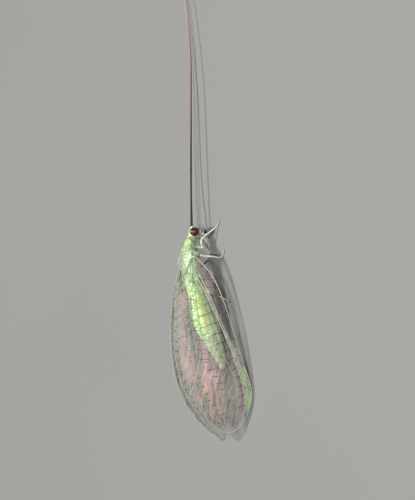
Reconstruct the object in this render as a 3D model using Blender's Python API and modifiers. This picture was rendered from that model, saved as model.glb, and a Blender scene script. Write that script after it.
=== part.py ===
"""Green lacewing at rest, at life size: head towards +X, back towards +Z, its left side towards +Y."""

import math

import bmesh
import bpy
from mathutils import Vector

MM = 0.001

# Gap between neighbouring pieces
GAP = 0.2 * MM

# Stations along the body, measured forwards from the middle of the thorax
PRONOTUM_FRONT = 0.99 * MM
PRONOTUM_REAR = 0.24 * MM
MESOTHORAX_REAR = -1.5 * MM
METATHORAX_REAR = -2.65 * MM

# Heights of the body's middle line over the ground, and its half widths
PRONOTUM_FRONT_HEIGHT = 1.5 * MM
PRONOTUM_REAR_HEIGHT = 1.72 * MM
PRONOTUM_RADIUS = 0.5 * MM
NECK_SHARE = 0.72
MESOTHORAX_FRONT_HEIGHT = 1.85 * MM
THORAX_HEIGHT = 2.05 * MM
THORAX_RADIUS = 0.7 * MM
WAIST_FRONT_HEIGHT = 1.88 * MM
WAIST_REAR_HEIGHT = 1.73 * MM
WAIST_RADIUS = 0.54 * MM
ABDOMEN_RADIUS = 0.8 * MM
ABDOMEN_SEGMENTS = 9
SEGMENT_GROOVE = 0.06
BODY_SIDES = 14

# Middle line of the abdomen behind its root, as station and height
ABDOMEN_LINE = ((-4.4, 1.5), (-5.6, 1.22), (-6.8, 0.84), (-7.8, 0.58), (-8.55, 0.44))
ABDOMEN_ROOT_HEIGHT = 1.67 * MM
ABDOMEN_GIRTH = (0.64, 0.87, 1.0, 0.98, 0.84, 0.64, 0.44)
TAIL_LENGTH = 0.12 * MM
TAIL_RADIUS = 0.21 * MM

# Head, turned about the body's length so that its right side is the higher
HEAD_CENTRE = Vector((1.51, 0.0, 1.08)) * MM
HEAD_ROLL = math.radians(22)
HEAD_LENGTH = 0.68 * MM
HEAD_WIDTH = 0.6 * MM
HEAD_DEPTH = 0.76 * MM
EYE_RADIUS = 0.33 * MM
EYE_LIFT = 0.06 * MM
EYE_CUT = 0.02 * MM
MOUTH_LENGTH = 0.3 * MM
MOUTH_RADIUS = 0.17 * MM

# Antennae, with the points of the line between them as forwards, left and up, and how far each lies off it
ANTENNA_RADIUS = 0.25 * MM
ANTENNA_ROOT_RADIUS = 0.2 * MM
ANTENNA_TIP_RADIUS = 0.09 * MM
ANTENNA_POINTS = 18
ANTENNA_LINE = (
    (5.5, -0.6, 0.98), (11.0, -1.95, 0.74), (14.0, -2.48, 0.52), (16.6, -2.7, 0.43), (19.3, -2.8, 0.4),
)
ANTENNA_SPREAD = (0.4, 0.42, 0.42, 0.42, 0.35)
ANTENNA_DROP = (0.23, 0.24, 0.24, 0.22, 0.2)

# Legs: radii of femur, tibia and foot
FEMUR_RADIUS = 0.27 * MM
TIBIA_RADIUS = 0.25 * MM
TARSUS_RADIUS = 0.23 * MM
CLAW_RADIUS = 0.13 * MM

# Leg joints: hip, knee, ankle, toe base and toe, as forwards, outwards and up
FRONT_LEG = (
    (0.3, 0.45, 0.85), (0.88, 0.8, 1.02), (1.42, 1.5, 0.3), (1.62, 1.76, 0.2), (1.84, 1.96, 0.15),
)
MIDDLE_LEG = (
    (-0.3, 0.5, 1.05), (-0.56, 1.25, 0.57), (-0.74, 1.6, 0.27), (-0.63, 1.82, 0.2), (-0.33, 2.0, 0.15),
)
HIND_LEG = (
    (-2.35, 0.35, 0.9), (-3.05, 0.84, 0.93), (-3.62, 1.15, 0.27), (-3.82, 1.4, 0.2), (-3.98, 1.62, 0.15),
)

# Wings, folded like a roof over the abdomen
ROOF_SLOPE = math.radians(57)
WING_THICKNESS = 0.5 * MM
VEIN_HEIGHT = 0.12 * MM
VEIN_HALF_WIDTH = 0.022
WING_ARCH = 0.085
HINDWING_INSET = 0.8 * MM
LEFT_WINGS_REACH = 1.03

# Forewing outline, root to tip: distance behind the middle of the thorax, distance down the slope of the
# roof, and distance out from the midline
FORE_COSTA = (
    (0.45, -1.02, 1.15), (1.5, -0.3, 1.7), (2.9, 0.25, 2.22), (4.4, 0.57, 2.52), (6.2, 0.84, 2.8),
    (7.9, 1.15, 2.95), (9.5, 1.42, 3.03), (10.8, 1.53, 2.96), (11.8, 1.15, 2.4), (12.6, 0.4, 1.5),
    (13.05, -0.5, 0.75),
)
FORE_HIND = (
    (0.5, -1.5, 0.95), (1.1, -1.9, 0.65), (2.4, -2.62, 0.4), (4.0, -3.1, 0.38), (5.8, -3.4, 0.38),
    (7.6, -3.5, 0.38), (9.3, -3.38, 0.38), (10.6, -3.0, 0.38), (11.8, -2.3, 0.38),
    (12.6, -1.6, 0.38), (13.05, -1.0, 0.4),
)

# Hindwing outline under it: distance behind the middle of the thorax and distance down the slope
HIND_COSTA = (
    (2.05, -1.1), (3.0, -0.6), (4.3, -0.05), (6.0, 0.35), (7.8, 0.62), (9.4, 0.85), (10.8, 0.8),
    (11.8, 0.35), (12.3, -0.2),
)
HIND_HIND = (
    (2.15, -1.45), (2.9, -1.75), (4.2, -1.9), (5.9, -1.95), (7.6, -1.95), (9.3, -1.9), (10.7, -1.65),
    (11.7, -1.15), (12.3, -0.65),
)

# Main veins: how far each lies from the costal margin to the hind margin, from root to tip
FORE_VEINS = (
    (0.42, 0.34, 0.28, 0.2, 0.14, 0.12, 0.13),
    (0.6, 0.52, 0.42, 0.36, 0.29, 0.24, 0.26),
    (0.74, 0.68, 0.6, 0.56, 0.52, 0.47, 0.46),
    (0.88, 0.84, 0.8, 0.77, 0.73, 0.68, 0.64),
)
HIND_VEINS = (
    (0.3, 0.22, 0.16, 0.13, 0.13),
    (0.55, 0.45, 0.38, 0.33, 0.32),
    (0.8, 0.72, 0.66, 0.62, 0.6),
)
FORE_STATIONS = 26
HIND_STATIONS = 22

GREEN = (0.42, 0.62, 0.16)
PALE_GREEN = (0.62, 0.74, 0.52)
YELLOW_GREEN = (0.62, 0.7, 0.14)
CREAM = (0.78, 0.74, 0.6)
MAROON = (0.12, 0.02, 0.03)
DARK_BROWN = (0.1, 0.05, 0.03)
MEMBRANE = (0.7, 0.74, 0.68)


def clear_scene():
    for obj in list(bpy.data.objects):
        bpy.data.objects.remove(obj, do_unlink=True)


def new_collection(name):
    collection = bpy.data.collections.new(name)
    bpy.context.scene.collection.children.link(collection)
    return collection


def principled(name, color, roughness, alpha=1.0):
    material = bpy.data.materials.new(name)
    material.use_nodes = True
    shader = material.node_tree.nodes["Principled BSDF"]
    shader.inputs["Base Color"].default_value = (*color, 1.0)
    shader.inputs["Roughness"].default_value = roughness
    shader.inputs["Metallic"].default_value = 0.0
    shader.inputs["Alpha"].default_value = alpha
    return material


def smoothstep(x):
    x = min(max(x, 0.0), 1.0)
    return x * x * (3 - 2 * x)


def spline(points, t):
    """Point at fraction t of the smooth curve that passes through all the points."""
    points = [Vector(point) for point in points]
    place = min(max(t, 0.0), 1.0) * (len(points) - 1)
    i = min(int(place), len(points) - 2)
    u = place - i
    p1, p2 = points[i], points[i + 1]
    p0 = points[i - 1] if i > 0 else 2 * p1 - p2
    p3 = points[i + 2] if i + 2 < len(points) else 2 * p2 - p1
    return 0.5 * (
        2 * p1 + (p2 - p0) * u + (2 * p0 - 5 * p1 + 4 * p2 - p3) * u**2 + (3 * p1 - p0 - 3 * p2 + p3) * u**3
    )


def profile(values, t):
    """Value at fraction t of the smooth curve through evenly spaced values."""
    return spline([(value, 0.0) for value in values], t).x


def mesh_of(obj):
    """The object's finished mesh, with loose caps welded; the object itself is removed."""
    graph = bpy.context.evaluated_depsgraph_get()
    mesh = bpy.data.meshes.new_from_object(obj.evaluated_get(graph))
    bm = bmesh.new()
    bm.from_mesh(mesh)
    bmesh.ops.remove_doubles(bm, verts=bm.verts, dist=0.002 * MM)
    bmesh.ops.recalc_face_normals(bm, faces=bm.faces)
    if bm.calc_volume(signed=True) < 0:
        bmesh.ops.reverse_faces(bm, faces=bm.faces)
    bm.to_mesh(mesh)
    bm.free()
    bpy.data.objects.remove(obj)
    return mesh


def tube(points, radii, sides=8):
    """Mesh of a round tube through the points, with its own radius at each and filled caps."""
    curve = bpy.data.curves.new("tube", "CURVE")
    curve.dimensions = "3D"
    curve.bevel_depth = 1.0
    curve.bevel_resolution = (sides - 4) // 2
    curve.use_fill_caps = True
    strand = curve.splines.new("POLY")
    strand.points.add(len(points) - 1)
    for place, point, radius in zip(strand.points, points, radii):
        place.co = (*point, 1.0)
        place.radius = radius
    obj = bpy.data.objects.new("tube", curve)
    bpy.context.scene.collection.objects.link(obj)
    return mesh_of(obj)


def cut_at_ground(mesh):
    """Trims what lies below the ground, which leaves a small flat to rest on."""
    bm = bmesh.new()
    bm.from_mesh(mesh)
    bmesh.ops.bisect_plane(
        bm, geom=bm.verts[:] + bm.edges[:] + bm.faces[:], plane_co=(0, 0, 0), plane_no=(0, 0, -1),
        clear_outer=True,
    )
    bmesh.ops.holes_fill(bm, edges=[edge for edge in bm.edges if edge.is_boundary])
    bm.to_mesh(mesh)
    bm.free()


def add_node(name, mesh, material):
    mesh.materials.clear()
    mesh.materials.append(material)
    mesh.shade_smooth()
    mesh.set_sharp_from_angle(angle=math.radians(45))
    obj = bpy.data.objects.new(name, mesh)
    body.objects.link(obj)
    return obj


def joined(name, meshes, material):
    """One node from closed meshes that overlap, fused by one union."""
    pieces = new_collection(name + "_pieces")
    for mesh in meshes[1:]:
        pieces.objects.link(bpy.data.objects.new("piece", mesh))
    base = bpy.data.objects.new("base", meshes[0])
    bpy.context.scene.collection.objects.link(base)
    union = base.modifiers.new("union", "BOOLEAN")
    union.operation = "UNION"
    union.operand_type = "COLLECTION"
    union.collection = pieces
    mesh = mesh_of(base)
    for piece in list(pieces.objects):
        bpy.data.objects.remove(piece)
    bpy.data.collections.remove(pieces)
    return add_node(name, mesh, material)


def barrel(front, rear, front_height, rear_height, radii, points=9):
    """Round length of the body between two flat ends, with its radius read along the list of radii."""
    places = []
    for i in range(points):
        t = i / (points - 1)
        x = front + (rear - front) * t
        places.append((x, 0.0, front_height + (rear_height - front_height) * t))
    return tube(places, [profile(radii, i / (points - 1)) for i in range(points)], BODY_SIDES)


def add_thorax():
    neck = PRONOTUM_RADIUS * NECK_SHARE
    mesh = barrel(
        PRONOTUM_FRONT, PRONOTUM_REAR, PRONOTUM_FRONT_HEIGHT, PRONOTUM_REAR_HEIGHT,
        (neck, PRONOTUM_RADIUS * 0.88, PRONOTUM_RADIUS * 0.96, PRONOTUM_RADIUS),
    )
    add_node("prothorax", mesh, principled("prothorax", YELLOW_GREEN, 0.5))
    mesh = barrel(
        PRONOTUM_REAR - GAP, MESOTHORAX_REAR, MESOTHORAX_FRONT_HEIGHT, THORAX_HEIGHT,
        (PRONOTUM_RADIUS * 1.06, THORAX_RADIUS * 0.97, THORAX_RADIUS, THORAX_RADIUS * 0.96, WAIST_RADIUS),
    )
    add_node("mesothorax", mesh, principled("mesothorax", PALE_GREEN, 0.6))
    mesh = barrel(
        MESOTHORAX_REAR - GAP, METATHORAX_REAR, WAIST_FRONT_HEIGHT, WAIST_REAR_HEIGHT,
        (WAIST_RADIUS * 0.98, WAIST_RADIUS, WAIST_RADIUS * 0.98, WAIST_RADIUS * 0.92),
    )
    add_node("metathorax", mesh, principled("metathorax", GREEN, 0.6))


def add_abdomen():
    """Drooping barrel of segments, each one a little waisted at its joints."""
    root = (METATHORAX_REAR - GAP, ABDOMEN_ROOT_HEIGHT)
    line = [root, *((x * MM, z * MM) for x, z in ABDOMEN_LINE)]
    places = []
    radii = []
    for i in range(ABDOMEN_SEGMENTS * 3 + 1):
        t = i / (ABDOMEN_SEGMENTS * 3)
        x, z = spline(line, t)
        groove = SEGMENT_GROOVE if i % 3 == 0 else 0.0
        places.append((x, 0.0, z))
        radii.append(ABDOMEN_RADIUS * profile(ABDOMEN_GIRTH, t) * (1 - groove))
    end_x, end_z = line[-1]
    places.append((end_x - TAIL_LENGTH, 0.0, end_z))
    radii.append(TAIL_RADIUS)
    add_node("abdomen", tube(places, radii, BODY_SIDES), principled("abdomen", GREEN, 0.5))


def in_head(forward, left, up):
    """Place given from the middle of the head, in the head's own rolled directions."""
    offset = Vector((
        forward,
        left * math.cos(HEAD_ROLL) + up * math.sin(HEAD_ROLL),
        up * math.cos(HEAD_ROLL) - left * math.sin(HEAD_ROLL),
    ))
    return HEAD_CENTRE + offset


def add_head():
    """Capsule that is flat where the eyes sit, the eyes as domes, and the mouthparts below."""
    bm = bmesh.new()
    bmesh.ops.create_uvsphere(bm, u_segments=16, v_segments=10, radius=0.5)
    for vertex in bm.verts:
        side = min(max(vertex.co.y * 1.5, -0.5), 0.5)
        vertex.co = in_head(vertex.co.x * HEAD_LENGTH, side * HEAD_WIDTH, vertex.co.z * HEAD_DEPTH)
    mesh = bpy.data.meshes.new("head")
    bm.to_mesh(mesh)
    bm.free()
    add_node("head", mesh, principled("head", YELLOW_GREEN, 0.5))
    for name, side in (("eye_left", 1), ("eye_right", -1)):
        bm = bmesh.new()
        bmesh.ops.create_uvsphere(bm, u_segments=16, v_segments=10, radius=EYE_RADIUS)
        bmesh.ops.bisect_plane(
            bm, geom=bm.verts[:] + bm.edges[:] + bm.faces[:], plane_co=(0, side * EYE_CUT, 0),
            plane_no=(0, -side, 0), clear_outer=True,
        )
        bmesh.ops.holes_fill(bm, edges=[edge for edge in bm.edges if edge.is_boundary])
        for vertex in bm.verts:
            out = vertex.co.y + side * (HEAD_WIDTH / 2 + GAP)
            vertex.co = in_head(vertex.co.x, out, vertex.co.z + EYE_LIFT)
        mesh = bpy.data.meshes.new(name)
        bm.to_mesh(mesh)
        bm.free()
        add_node(name, mesh, principled(name, MAROON, 0.2))
    add_mouthparts()


def add_mouthparts():
    """Short snout under the head, with a palp out of each side."""
    top = -HEAD_DEPTH / 2 - GAP
    snout_line = ((-0.1, 0.0), (-0.06, 0.6), (0.0, 1.0))
    snout = tube(
        [in_head(forward * MM, 0, top - MOUTH_LENGTH * down) for forward, down in snout_line],
        [MOUTH_RADIUS * 1.25, MOUTH_RADIUS, MOUTH_RADIUS * 0.5],
    )
    palp_line = ((-0.06, 0.06, 0.35), (0.14, 0.22, 0.45), (0.3, 0.26, 0.6))
    palps = []
    for side in (1, -1):
        places = [
            in_head(forward * MM, side * out * MM, top - MOUTH_LENGTH * down)
            for forward, out, down in palp_line
        ]
        palps.append(tube(places, [MOUTH_RADIUS * 0.6, MOUTH_RADIUS * 0.6, MOUTH_RADIUS * 0.4]))
    joined("mouthparts", [snout, *palps], principled("mouthparts", CREAM, 0.5))


def add_antennae():
    """Long feelers, side by side and leaning towards the animal's right, the right one riding higher."""
    root = in_head(HEAD_LENGTH / 2 + GAP * 0.7, 0, 0.05 * MM)
    for name, side in (("antenna_left", 1), ("antenna_right", -1)):
        line = [root + Vector((0.0, side * 0.3, -side * 0.12)) * MM]
        for (forward, left, up), spread, drop in zip(ANTENNA_LINE, ANTENNA_SPREAD, ANTENNA_DROP):
            line.append(Vector((forward, left + side * spread, up - side * drop)) * MM)
        places = []
        radii = []
        for i in range(ANTENNA_POINTS):
            t = i / (ANTENNA_POINTS - 1)
            places.append(spline(line, t))
            swelling = smoothstep(t / 0.15)
            radius = ANTENNA_ROOT_RADIUS + (ANTENNA_RADIUS - ANTENNA_ROOT_RADIUS) * swelling
            radii.append(radius + (ANTENNA_TIP_RADIUS - radius) * smoothstep((t - 0.6) / 0.4))
        add_node(name, tube(places, radii, 8), principled(name, DARK_BROWN, 0.6))


def add_legs():
    for pair, joints in (("front", FRONT_LEG), ("mid", MIDDLE_LEG), ("hind", HIND_LEG)):
        for side_name, side in (("left", 1), ("right", -1)):
            hip, knee, ankle, sole, toe = [
                Vector((forward * MM, side * out * MM, up * MM)) for forward, out, up in joints
            ]
            places = [hip, (hip + knee) / 2, knee, (knee + ankle) / 2, ankle, sole, toe]
            radii = [
                FEMUR_RADIUS * 0.9, FEMUR_RADIUS, TIBIA_RADIUS, TIBIA_RADIUS * 0.95, TARSUS_RADIUS,
                TARSUS_RADIUS, CLAW_RADIUS,
            ]
            mesh = tube(places, radii, 8)
            cut_at_ground(mesh)
            name = f"leg_{pair}_{side_name}"
            add_node(name, mesh, principled(name, CREAM, 0.5))


def out_of_roof(down, out):
    """Height of the roof's plane over the midline's edge, square to the slope."""
    return (out - down * math.cos(ROOF_SLOPE)) / math.sin(ROOF_SLOPE)


def edge_at(outline, back):
    """Distances down the slope and square to it where the outline is this far back."""
    back = min(max(back, outline[0][0]), outline[-1][0])
    for (back0, down0, out0), (back1, down1, out1) in zip(outline, outline[1:]):
        if back <= back1:
            t = (back - back0) / (back1 - back0)
            down = down0 + (down1 - down0) * t
            return down, out_of_roof(down, out0 + (out1 - out0) * t)


def roof_point(back, down, inset, side):
    """Place on the arched roof that the forewing forms, moved inwards by the inset."""
    costa, costa_lift = edge_at(FORE_COSTA, back)
    hind, hind_lift = edge_at(FORE_HIND, back)
    across = min(max((down - hind) / (costa - hind), 0.0), 1.0)
    arch = WING_ARCH * (costa - hind) * 4 * across * (1 - across)
    lift = (hind_lift + (costa_lift - hind_lift) * across + arch) * MM - inset
    down = down * MM
    y = down * math.cos(ROOF_SLOPE) + lift * math.sin(ROOF_SLOPE)
    z = lift * math.cos(ROOF_SLOPE) - down * math.sin(ROOF_SLOPE)
    reach = LEFT_WINGS_REACH if side > 0 else 1.0
    return Vector((-back * reach * MM, side * y, z))


def vein_rows(veins, t):
    """Rows across the wing at fraction t of its length, as place across it and height of ridge."""
    rows = [(0.0, 1.0), (2 * VEIN_HALF_WIDTH, 0.0)]
    for vein in veins:
        middle = profile(vein, t)
        rows += [(middle - VEIN_HALF_WIDTH, 0.0), (middle, 1.0), (middle + VEIN_HALF_WIDTH, 0.0)]
    return rows + [(1 - 1.6 * VEIN_HALF_WIDTH, 0.0), (1.0, 0.6)]


def add_wing(name, costa, hind, veins, stations, inset, side):
    """Plate whose outer face stands up along the main veins."""
    bm = bmesh.new()
    ridge = bm.verts.layers.deform.verify()
    grid = []
    for i in range(stations):
        t = i / (stations - 1)
        front, rear = spline(costa, t), spline(hind, t)
        column = []
        for across, height in vein_rows(veins, t):
            place = front + (rear - front) * across
            place = roof_point(place[0], place[1], inset + WING_THICKNESS / 2, side)
            vertex = bm.verts.new(place)
            vertex[ridge][0] = height
            column.append(vertex)
        grid.append(column)
    for column, after in zip(grid, grid[1:]):
        for j in range(len(column) - 1):
            corners = [column[j], after[j], after[j + 1], column[j + 1]]
            bm.faces.new(corners if side > 0 else corners[::-1])
    bmesh.ops.triangulate(bm, faces=bm.faces)
    mesh = bpy.data.meshes.new(name)
    bm.to_mesh(mesh)
    bm.free()
    obj = bpy.data.objects.new(name, mesh)
    obj.vertex_groups.new(name="ridge")
    bpy.context.scene.collection.objects.link(obj)
    shell = obj.modifiers.new("shell", "SOLIDIFY")
    shell.thickness = WING_THICKNESS + VEIN_HEIGHT
    shell.offset = 1.0
    shell.vertex_group = "ridge"
    shell.thickness_vertex_group = WING_THICKNESS / (WING_THICKNESS + VEIN_HEIGHT)
    mesh = mesh_of(obj)
    cut_at_ground(mesh)
    add_node(name, mesh, principled(name, MEMBRANE, 0.15, 0.4))


def add_wings():
    for side_name, side in (("left", 1), ("right", -1)):
        add_wing(
            f"forewing_{side_name}", FORE_COSTA, FORE_HIND, FORE_VEINS, FORE_STATIONS, 0.0, side
        )
        add_wing(
            f"hindwing_{side_name}", HIND_COSTA, HIND_HIND, HIND_VEINS, HIND_STATIONS, HINDWING_INSET, side
        )


def centre_over_origin():
    """Moves the whole animal by a parent empty, so that the middle of its footprint is the origin."""
    corners = [vertex.co for obj in body.objects for vertex in obj.data.vertices]
    xs = [corner.x for corner in corners]
    ys = [corner.y for corner in corners]
    lacewing = bpy.data.objects.new("lacewing", None)
    lacewing.location = (-(min(xs) + max(xs)) / 2, -(min(ys) + max(ys)) / 2, 0.0)
    for obj in body.objects:
        obj.parent = lacewing
    body.objects.link(lacewing)


clear_scene()
body = new_collection("green_lacewing")
add_thorax()
add_abdomen()
add_head()
add_antennae()
add_legs()
add_wings()
centre_over_origin()
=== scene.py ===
"""Green lacewing at rest on a floor, at life size. Lengths are in millimetres, measured from the ground
under the middle of the thorax: x forwards, y to the animal's left, z up."""

import math
from types import SimpleNamespace

import bmesh
import bpy
import numpy as np
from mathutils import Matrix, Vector, kdtree


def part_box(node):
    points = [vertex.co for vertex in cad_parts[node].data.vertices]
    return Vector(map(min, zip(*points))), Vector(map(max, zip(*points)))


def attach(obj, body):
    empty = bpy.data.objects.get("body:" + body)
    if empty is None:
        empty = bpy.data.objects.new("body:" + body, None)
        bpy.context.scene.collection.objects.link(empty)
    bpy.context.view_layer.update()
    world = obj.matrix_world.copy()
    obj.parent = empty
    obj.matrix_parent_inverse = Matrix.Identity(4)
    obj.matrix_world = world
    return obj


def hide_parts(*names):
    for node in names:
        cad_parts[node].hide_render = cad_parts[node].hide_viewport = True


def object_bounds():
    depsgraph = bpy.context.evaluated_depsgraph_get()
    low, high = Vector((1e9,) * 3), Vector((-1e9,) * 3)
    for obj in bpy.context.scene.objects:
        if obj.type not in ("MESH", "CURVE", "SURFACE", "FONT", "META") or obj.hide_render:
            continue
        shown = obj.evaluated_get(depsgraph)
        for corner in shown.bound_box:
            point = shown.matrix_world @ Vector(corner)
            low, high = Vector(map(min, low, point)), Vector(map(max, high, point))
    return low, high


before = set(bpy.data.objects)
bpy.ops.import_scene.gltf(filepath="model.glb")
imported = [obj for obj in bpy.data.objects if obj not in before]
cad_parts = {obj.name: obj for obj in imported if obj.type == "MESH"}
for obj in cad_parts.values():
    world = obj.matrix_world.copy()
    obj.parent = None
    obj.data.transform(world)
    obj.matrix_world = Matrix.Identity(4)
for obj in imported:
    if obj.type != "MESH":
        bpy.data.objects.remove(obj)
CAD_LOW, CAD_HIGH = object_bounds()

METRE = 1000.0
SEED = 7
SIDES = (("left", 1), ("right", -1))

# The frame's own axes start at the middle of its footprint, and the mesothorax's front end tells how far
# that is from the middle of the thorax
MESOTHORAX_FRONT = 0.04
ORIGIN = np.array([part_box("mesothorax")[1].x * METRE - MESOTHORAX_FRONT, 0.0, 0.0])

# Colours, as linear red, green and blue
LIME = (0.58, 0.84, 0.37)
DEEP_LIME = (0.37, 0.68, 0.14)
YELLOW = (0.70, 0.81, 0.18)
PALE_BLUE_GREEN = (0.55, 0.73, 0.46)
MINT = (0.46, 0.54, 0.41)
WHITE_HAIR = (0.54, 0.60, 0.49)
CREAM = (0.56, 0.56, 0.50)
CREAM_GREEN = (0.44, 0.52, 0.34)
VEIN_CREAM = (0.33, 0.36, 0.265)
HIND_MARGIN = (0.30, 0.34, 0.24)
COSTA_BEIGE = (0.325, 0.30, 0.23)
FILM_VEIN = (0.31, 0.32, 0.25)
ROOT_GREEN = (0.25, 0.34, 0.18)
EYE_RIM = (0.68, 0.64, 0.50)
TAN = (0.42, 0.34, 0.2)
BROWN = (0.14, 0.07, 0.03)
DARK = (0.035, 0.022, 0.018)
FOOT_TAN = (0.50, 0.42, 0.30)
RUST = (0.48, 0.31, 0.17)
FOLD_GREEN = (0.66, 0.76, 0.5)
WAIST_GREEN = (0.33, 0.50, 0.24)
PRONOTUM_FLANK = (0.28, 0.365, 0.23)
PRONOTUM_TOP = (0.34, 0.48, 0.20)
HEAD_GREEN = (0.52, 0.66, 0.34)
FACE = (0.58, 0.56, 0.40)
SOCKET = (0.66, 0.70, 0.56)
CALLUS_RING = (0.70, 0.72, 0.62)
CALLUS_GREEN = (0.34, 0.40, 0.28)
WING_ROOT = (0.34, 0.41, 0.27)
MOUTH_PALE = (0.54, 0.53, 0.38)
MOUTH_TAN = (0.46, 0.38, 0.24)
LEG_GREEN = (0.58, 0.66, 0.47)


# Curves

def spline(points, t):
    """Points at the fractions t of the smooth curve through all the points."""
    points = np.asarray(points, float)
    padded = np.vstack([2 * points[0] - points[1], points, 2 * points[-1] - points[-2]])
    place = np.clip(t, 0.0, 1.0) * (len(points) - 1)
    i = np.minimum(np.asarray(place, int), len(points) - 2)
    u = (place - i)[..., None]
    p0, p1, p2, p3 = (padded[i + n] for n in range(4))
    return 0.5 * (2 * p1 + (p2 - p0) * u + (2 * p0 - 5 * p1 + 4 * p2 - p3) * u**2
                  + (3 * p1 - p0 - 3 * p2 + p3) * u**3)


def stretch(points, step, smooth=True):
    """Points about one step apart along the curve or the broken line through the points."""
    points = np.asarray(points, float)
    if smooth and len(points) > 2:
        points = spline(points, np.linspace(0, 1, 16 * (len(points) - 1) + 1))
    run = np.concatenate([[0.0], np.cumsum(np.linalg.norm(np.diff(points, axis=0), axis=1))])
    count = max(2, int(round(run[-1] / step)) + 1)
    even = np.linspace(0, run[-1], count)
    return np.stack([np.interp(even, run, axis) for axis in points.T], axis=1)


def smoothstep(x):
    x = np.clip(x, 0.0, 1.0)
    return x * x * (3 - 2 * x)


def bell(x, middle, width):
    return np.exp(-(((x - middle) / width) ** 2))


def blend_colour(first, second, share):
    """Mix of two colours or columns of colours; the share is one number for each point."""
    share = np.clip(np.asarray(share, float), 0, 1)[..., None]
    return np.asarray(first) * (1 - share) + np.asarray(second) * share


def unit(vectors):
    """The same directions, each with a length of one."""
    return vectors / np.linalg.norm(vectors, axis=-1, keepdims=True)


def paint(tint, *coats):
    """Lays colours over the tint in turn, each by its own share."""
    for colour, share in coats:
        tint = blend_colour(tint, colour, share)
    return tint


def mirrored(places, side):
    """The same places on the left side, where side is 1, or on the right side, where it is -1."""
    return np.multiply(places, (1, side, 1))


def distances(points, place):
    return np.linalg.norm(points - place, axis=1)


def mesh_values(items, title, size, kind=np.float32):
    """One value of all of a mesh's points, corners or faces, as rows of the given size."""
    values = np.empty(len(items) * size, kind)
    items.foreach_get(title, values)
    return values.reshape(-1, size)


# Gathering of shapes into pieces

# Corners of a hair that make up each of its faces, and where its corners lie in its patch of the map
HAIR_FACES = ((0, 1, 4, 3), (1, 2, 5, 4), (2, 0, 3, 5), (3, 4, 6), (4, 5, 6), (5, 3, 6))
HAIR_MAP = ((0, 0), (1, 0), (0.5, 1), (0, 0.5), (1, 0.5), (0.5, 0.2), (0.5, 0.5))
# Where a limb is nearer the floor than this, its hairs point up
LOW_HAIRS = 0.06
BRISTLE_RADIUS = 0.005

class Form:
    """Points and faces of one piece, with a colour and a place on its map for each point."""

    def __init__(self):
        self.points = []
        self.faces = []
        self.tints = []
        self.maps = []
        self.count = 0

    def add(self, points, faces, tint, places):
        points = np.asarray(points, float)
        self.points.append(points)
        self.faces += [tuple(corner + self.count for corner in face) for face in faces]
        self.tints.append(np.broadcast_to(np.asarray(tint, float), (len(points), 3)))
        self.maps.append(np.broadcast_to(np.asarray(places, float), (len(points), 2)))
        self.count += len(points)

    def piece(self, name, material, veil=None, flow=None):
        points = np.vstack(self.points)
        mesh = bpy.data.meshes.new(name)
        mesh.from_pydata(((points + ORIGIN) / METRE).tolist(), [], self.faces)
        mesh.update()
        tint_mesh(mesh, np.vstack(self.tints))
        corners = mesh_values(mesh.loops, "vertex_index", 1, np.int32)[:, 0]
        flat = mesh.uv_layers.new(name="OFBake")
        flat.data.foreach_set("uv", np.vstack(self.maps)[corners].ravel())
        if veil is not None:
            mesh.attributes.new("veil", "FLOAT", "POINT").data.foreach_set("value", veil)
            mesh.attributes.new("flow", "FLOAT_VECTOR", "POINT").data.foreach_set("vector", flow.ravel())
        mesh.shade_smooth()
        return finished(name, mesh, material)


def tint_mesh(mesh, tints):
    colours = np.ones((len(tints), 4), np.float32)
    colours[:, :3] = tints
    mesh.attributes.new("tint", "FLOAT_COLOR", "POINT").data.foreach_set("color", colours.ravel())


def finished(name, mesh, material):
    mesh.materials.append(material)
    obj = bpy.data.objects.new(name, mesh)
    bpy.context.scene.collection.objects.link(obj)
    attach(obj, "root")
    return obj


def turns(sides):
    """Angles of the corners of a ring."""
    return np.arange(sides) * 2 * math.pi / sides


def rings(points, radii, sides):
    """Rings of points round a line, kept from twisting."""
    points = np.asarray(points, float)
    heading = unit(np.gradient(points, axis=0))
    upright = [0.0, 0.0, 1.0] if abs(heading[0][2]) < 0.9 else [0.0, 1.0, 0.0]
    across = np.cross(heading[0], upright)
    angles = turns(sides)
    made = []
    for place, way, radius in zip(points, heading, np.broadcast_to(radii, len(points))):
        across = across - way * (across @ way)
        across /= np.linalg.norm(across)
        other = np.cross(way, across)
        made.append(place + radius * (np.cos(angles)[:, None] * across + np.sin(angles)[:, None] * other))
    return np.vstack(made)


def tube_faces(count, sides):
    faces = []
    for i in range(count - 1):
        for j in range(sides):
            k = (j + 1) % sides
            faces.append((i * sides + j, i * sides + k, (i + 1) * sides + k, (i + 1) * sides + j))
    faces.append(tuple(range(sides - 1, -1, -1)))
    faces.append(tuple(range((count - 1) * sides, count * sides)))
    return faces


def add_tube(form, points, radii, sides, tint, strip):
    """Closed tube. The strip is the height on the map of a lane that runs along it."""
    count = len(points)
    tints = np.repeat(np.broadcast_to(np.asarray(tint, float), (count, 3)), sides, axis=0)
    along = np.repeat(np.linspace(0.02, 0.98, count), sides)
    places = np.stack([along, strip + 0.04 * np.tile(np.cos(turns(sides)), count)], axis=1)
    form.add(rings(points, radii, sides), tube_faces(count, sides), tints, places)


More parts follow.
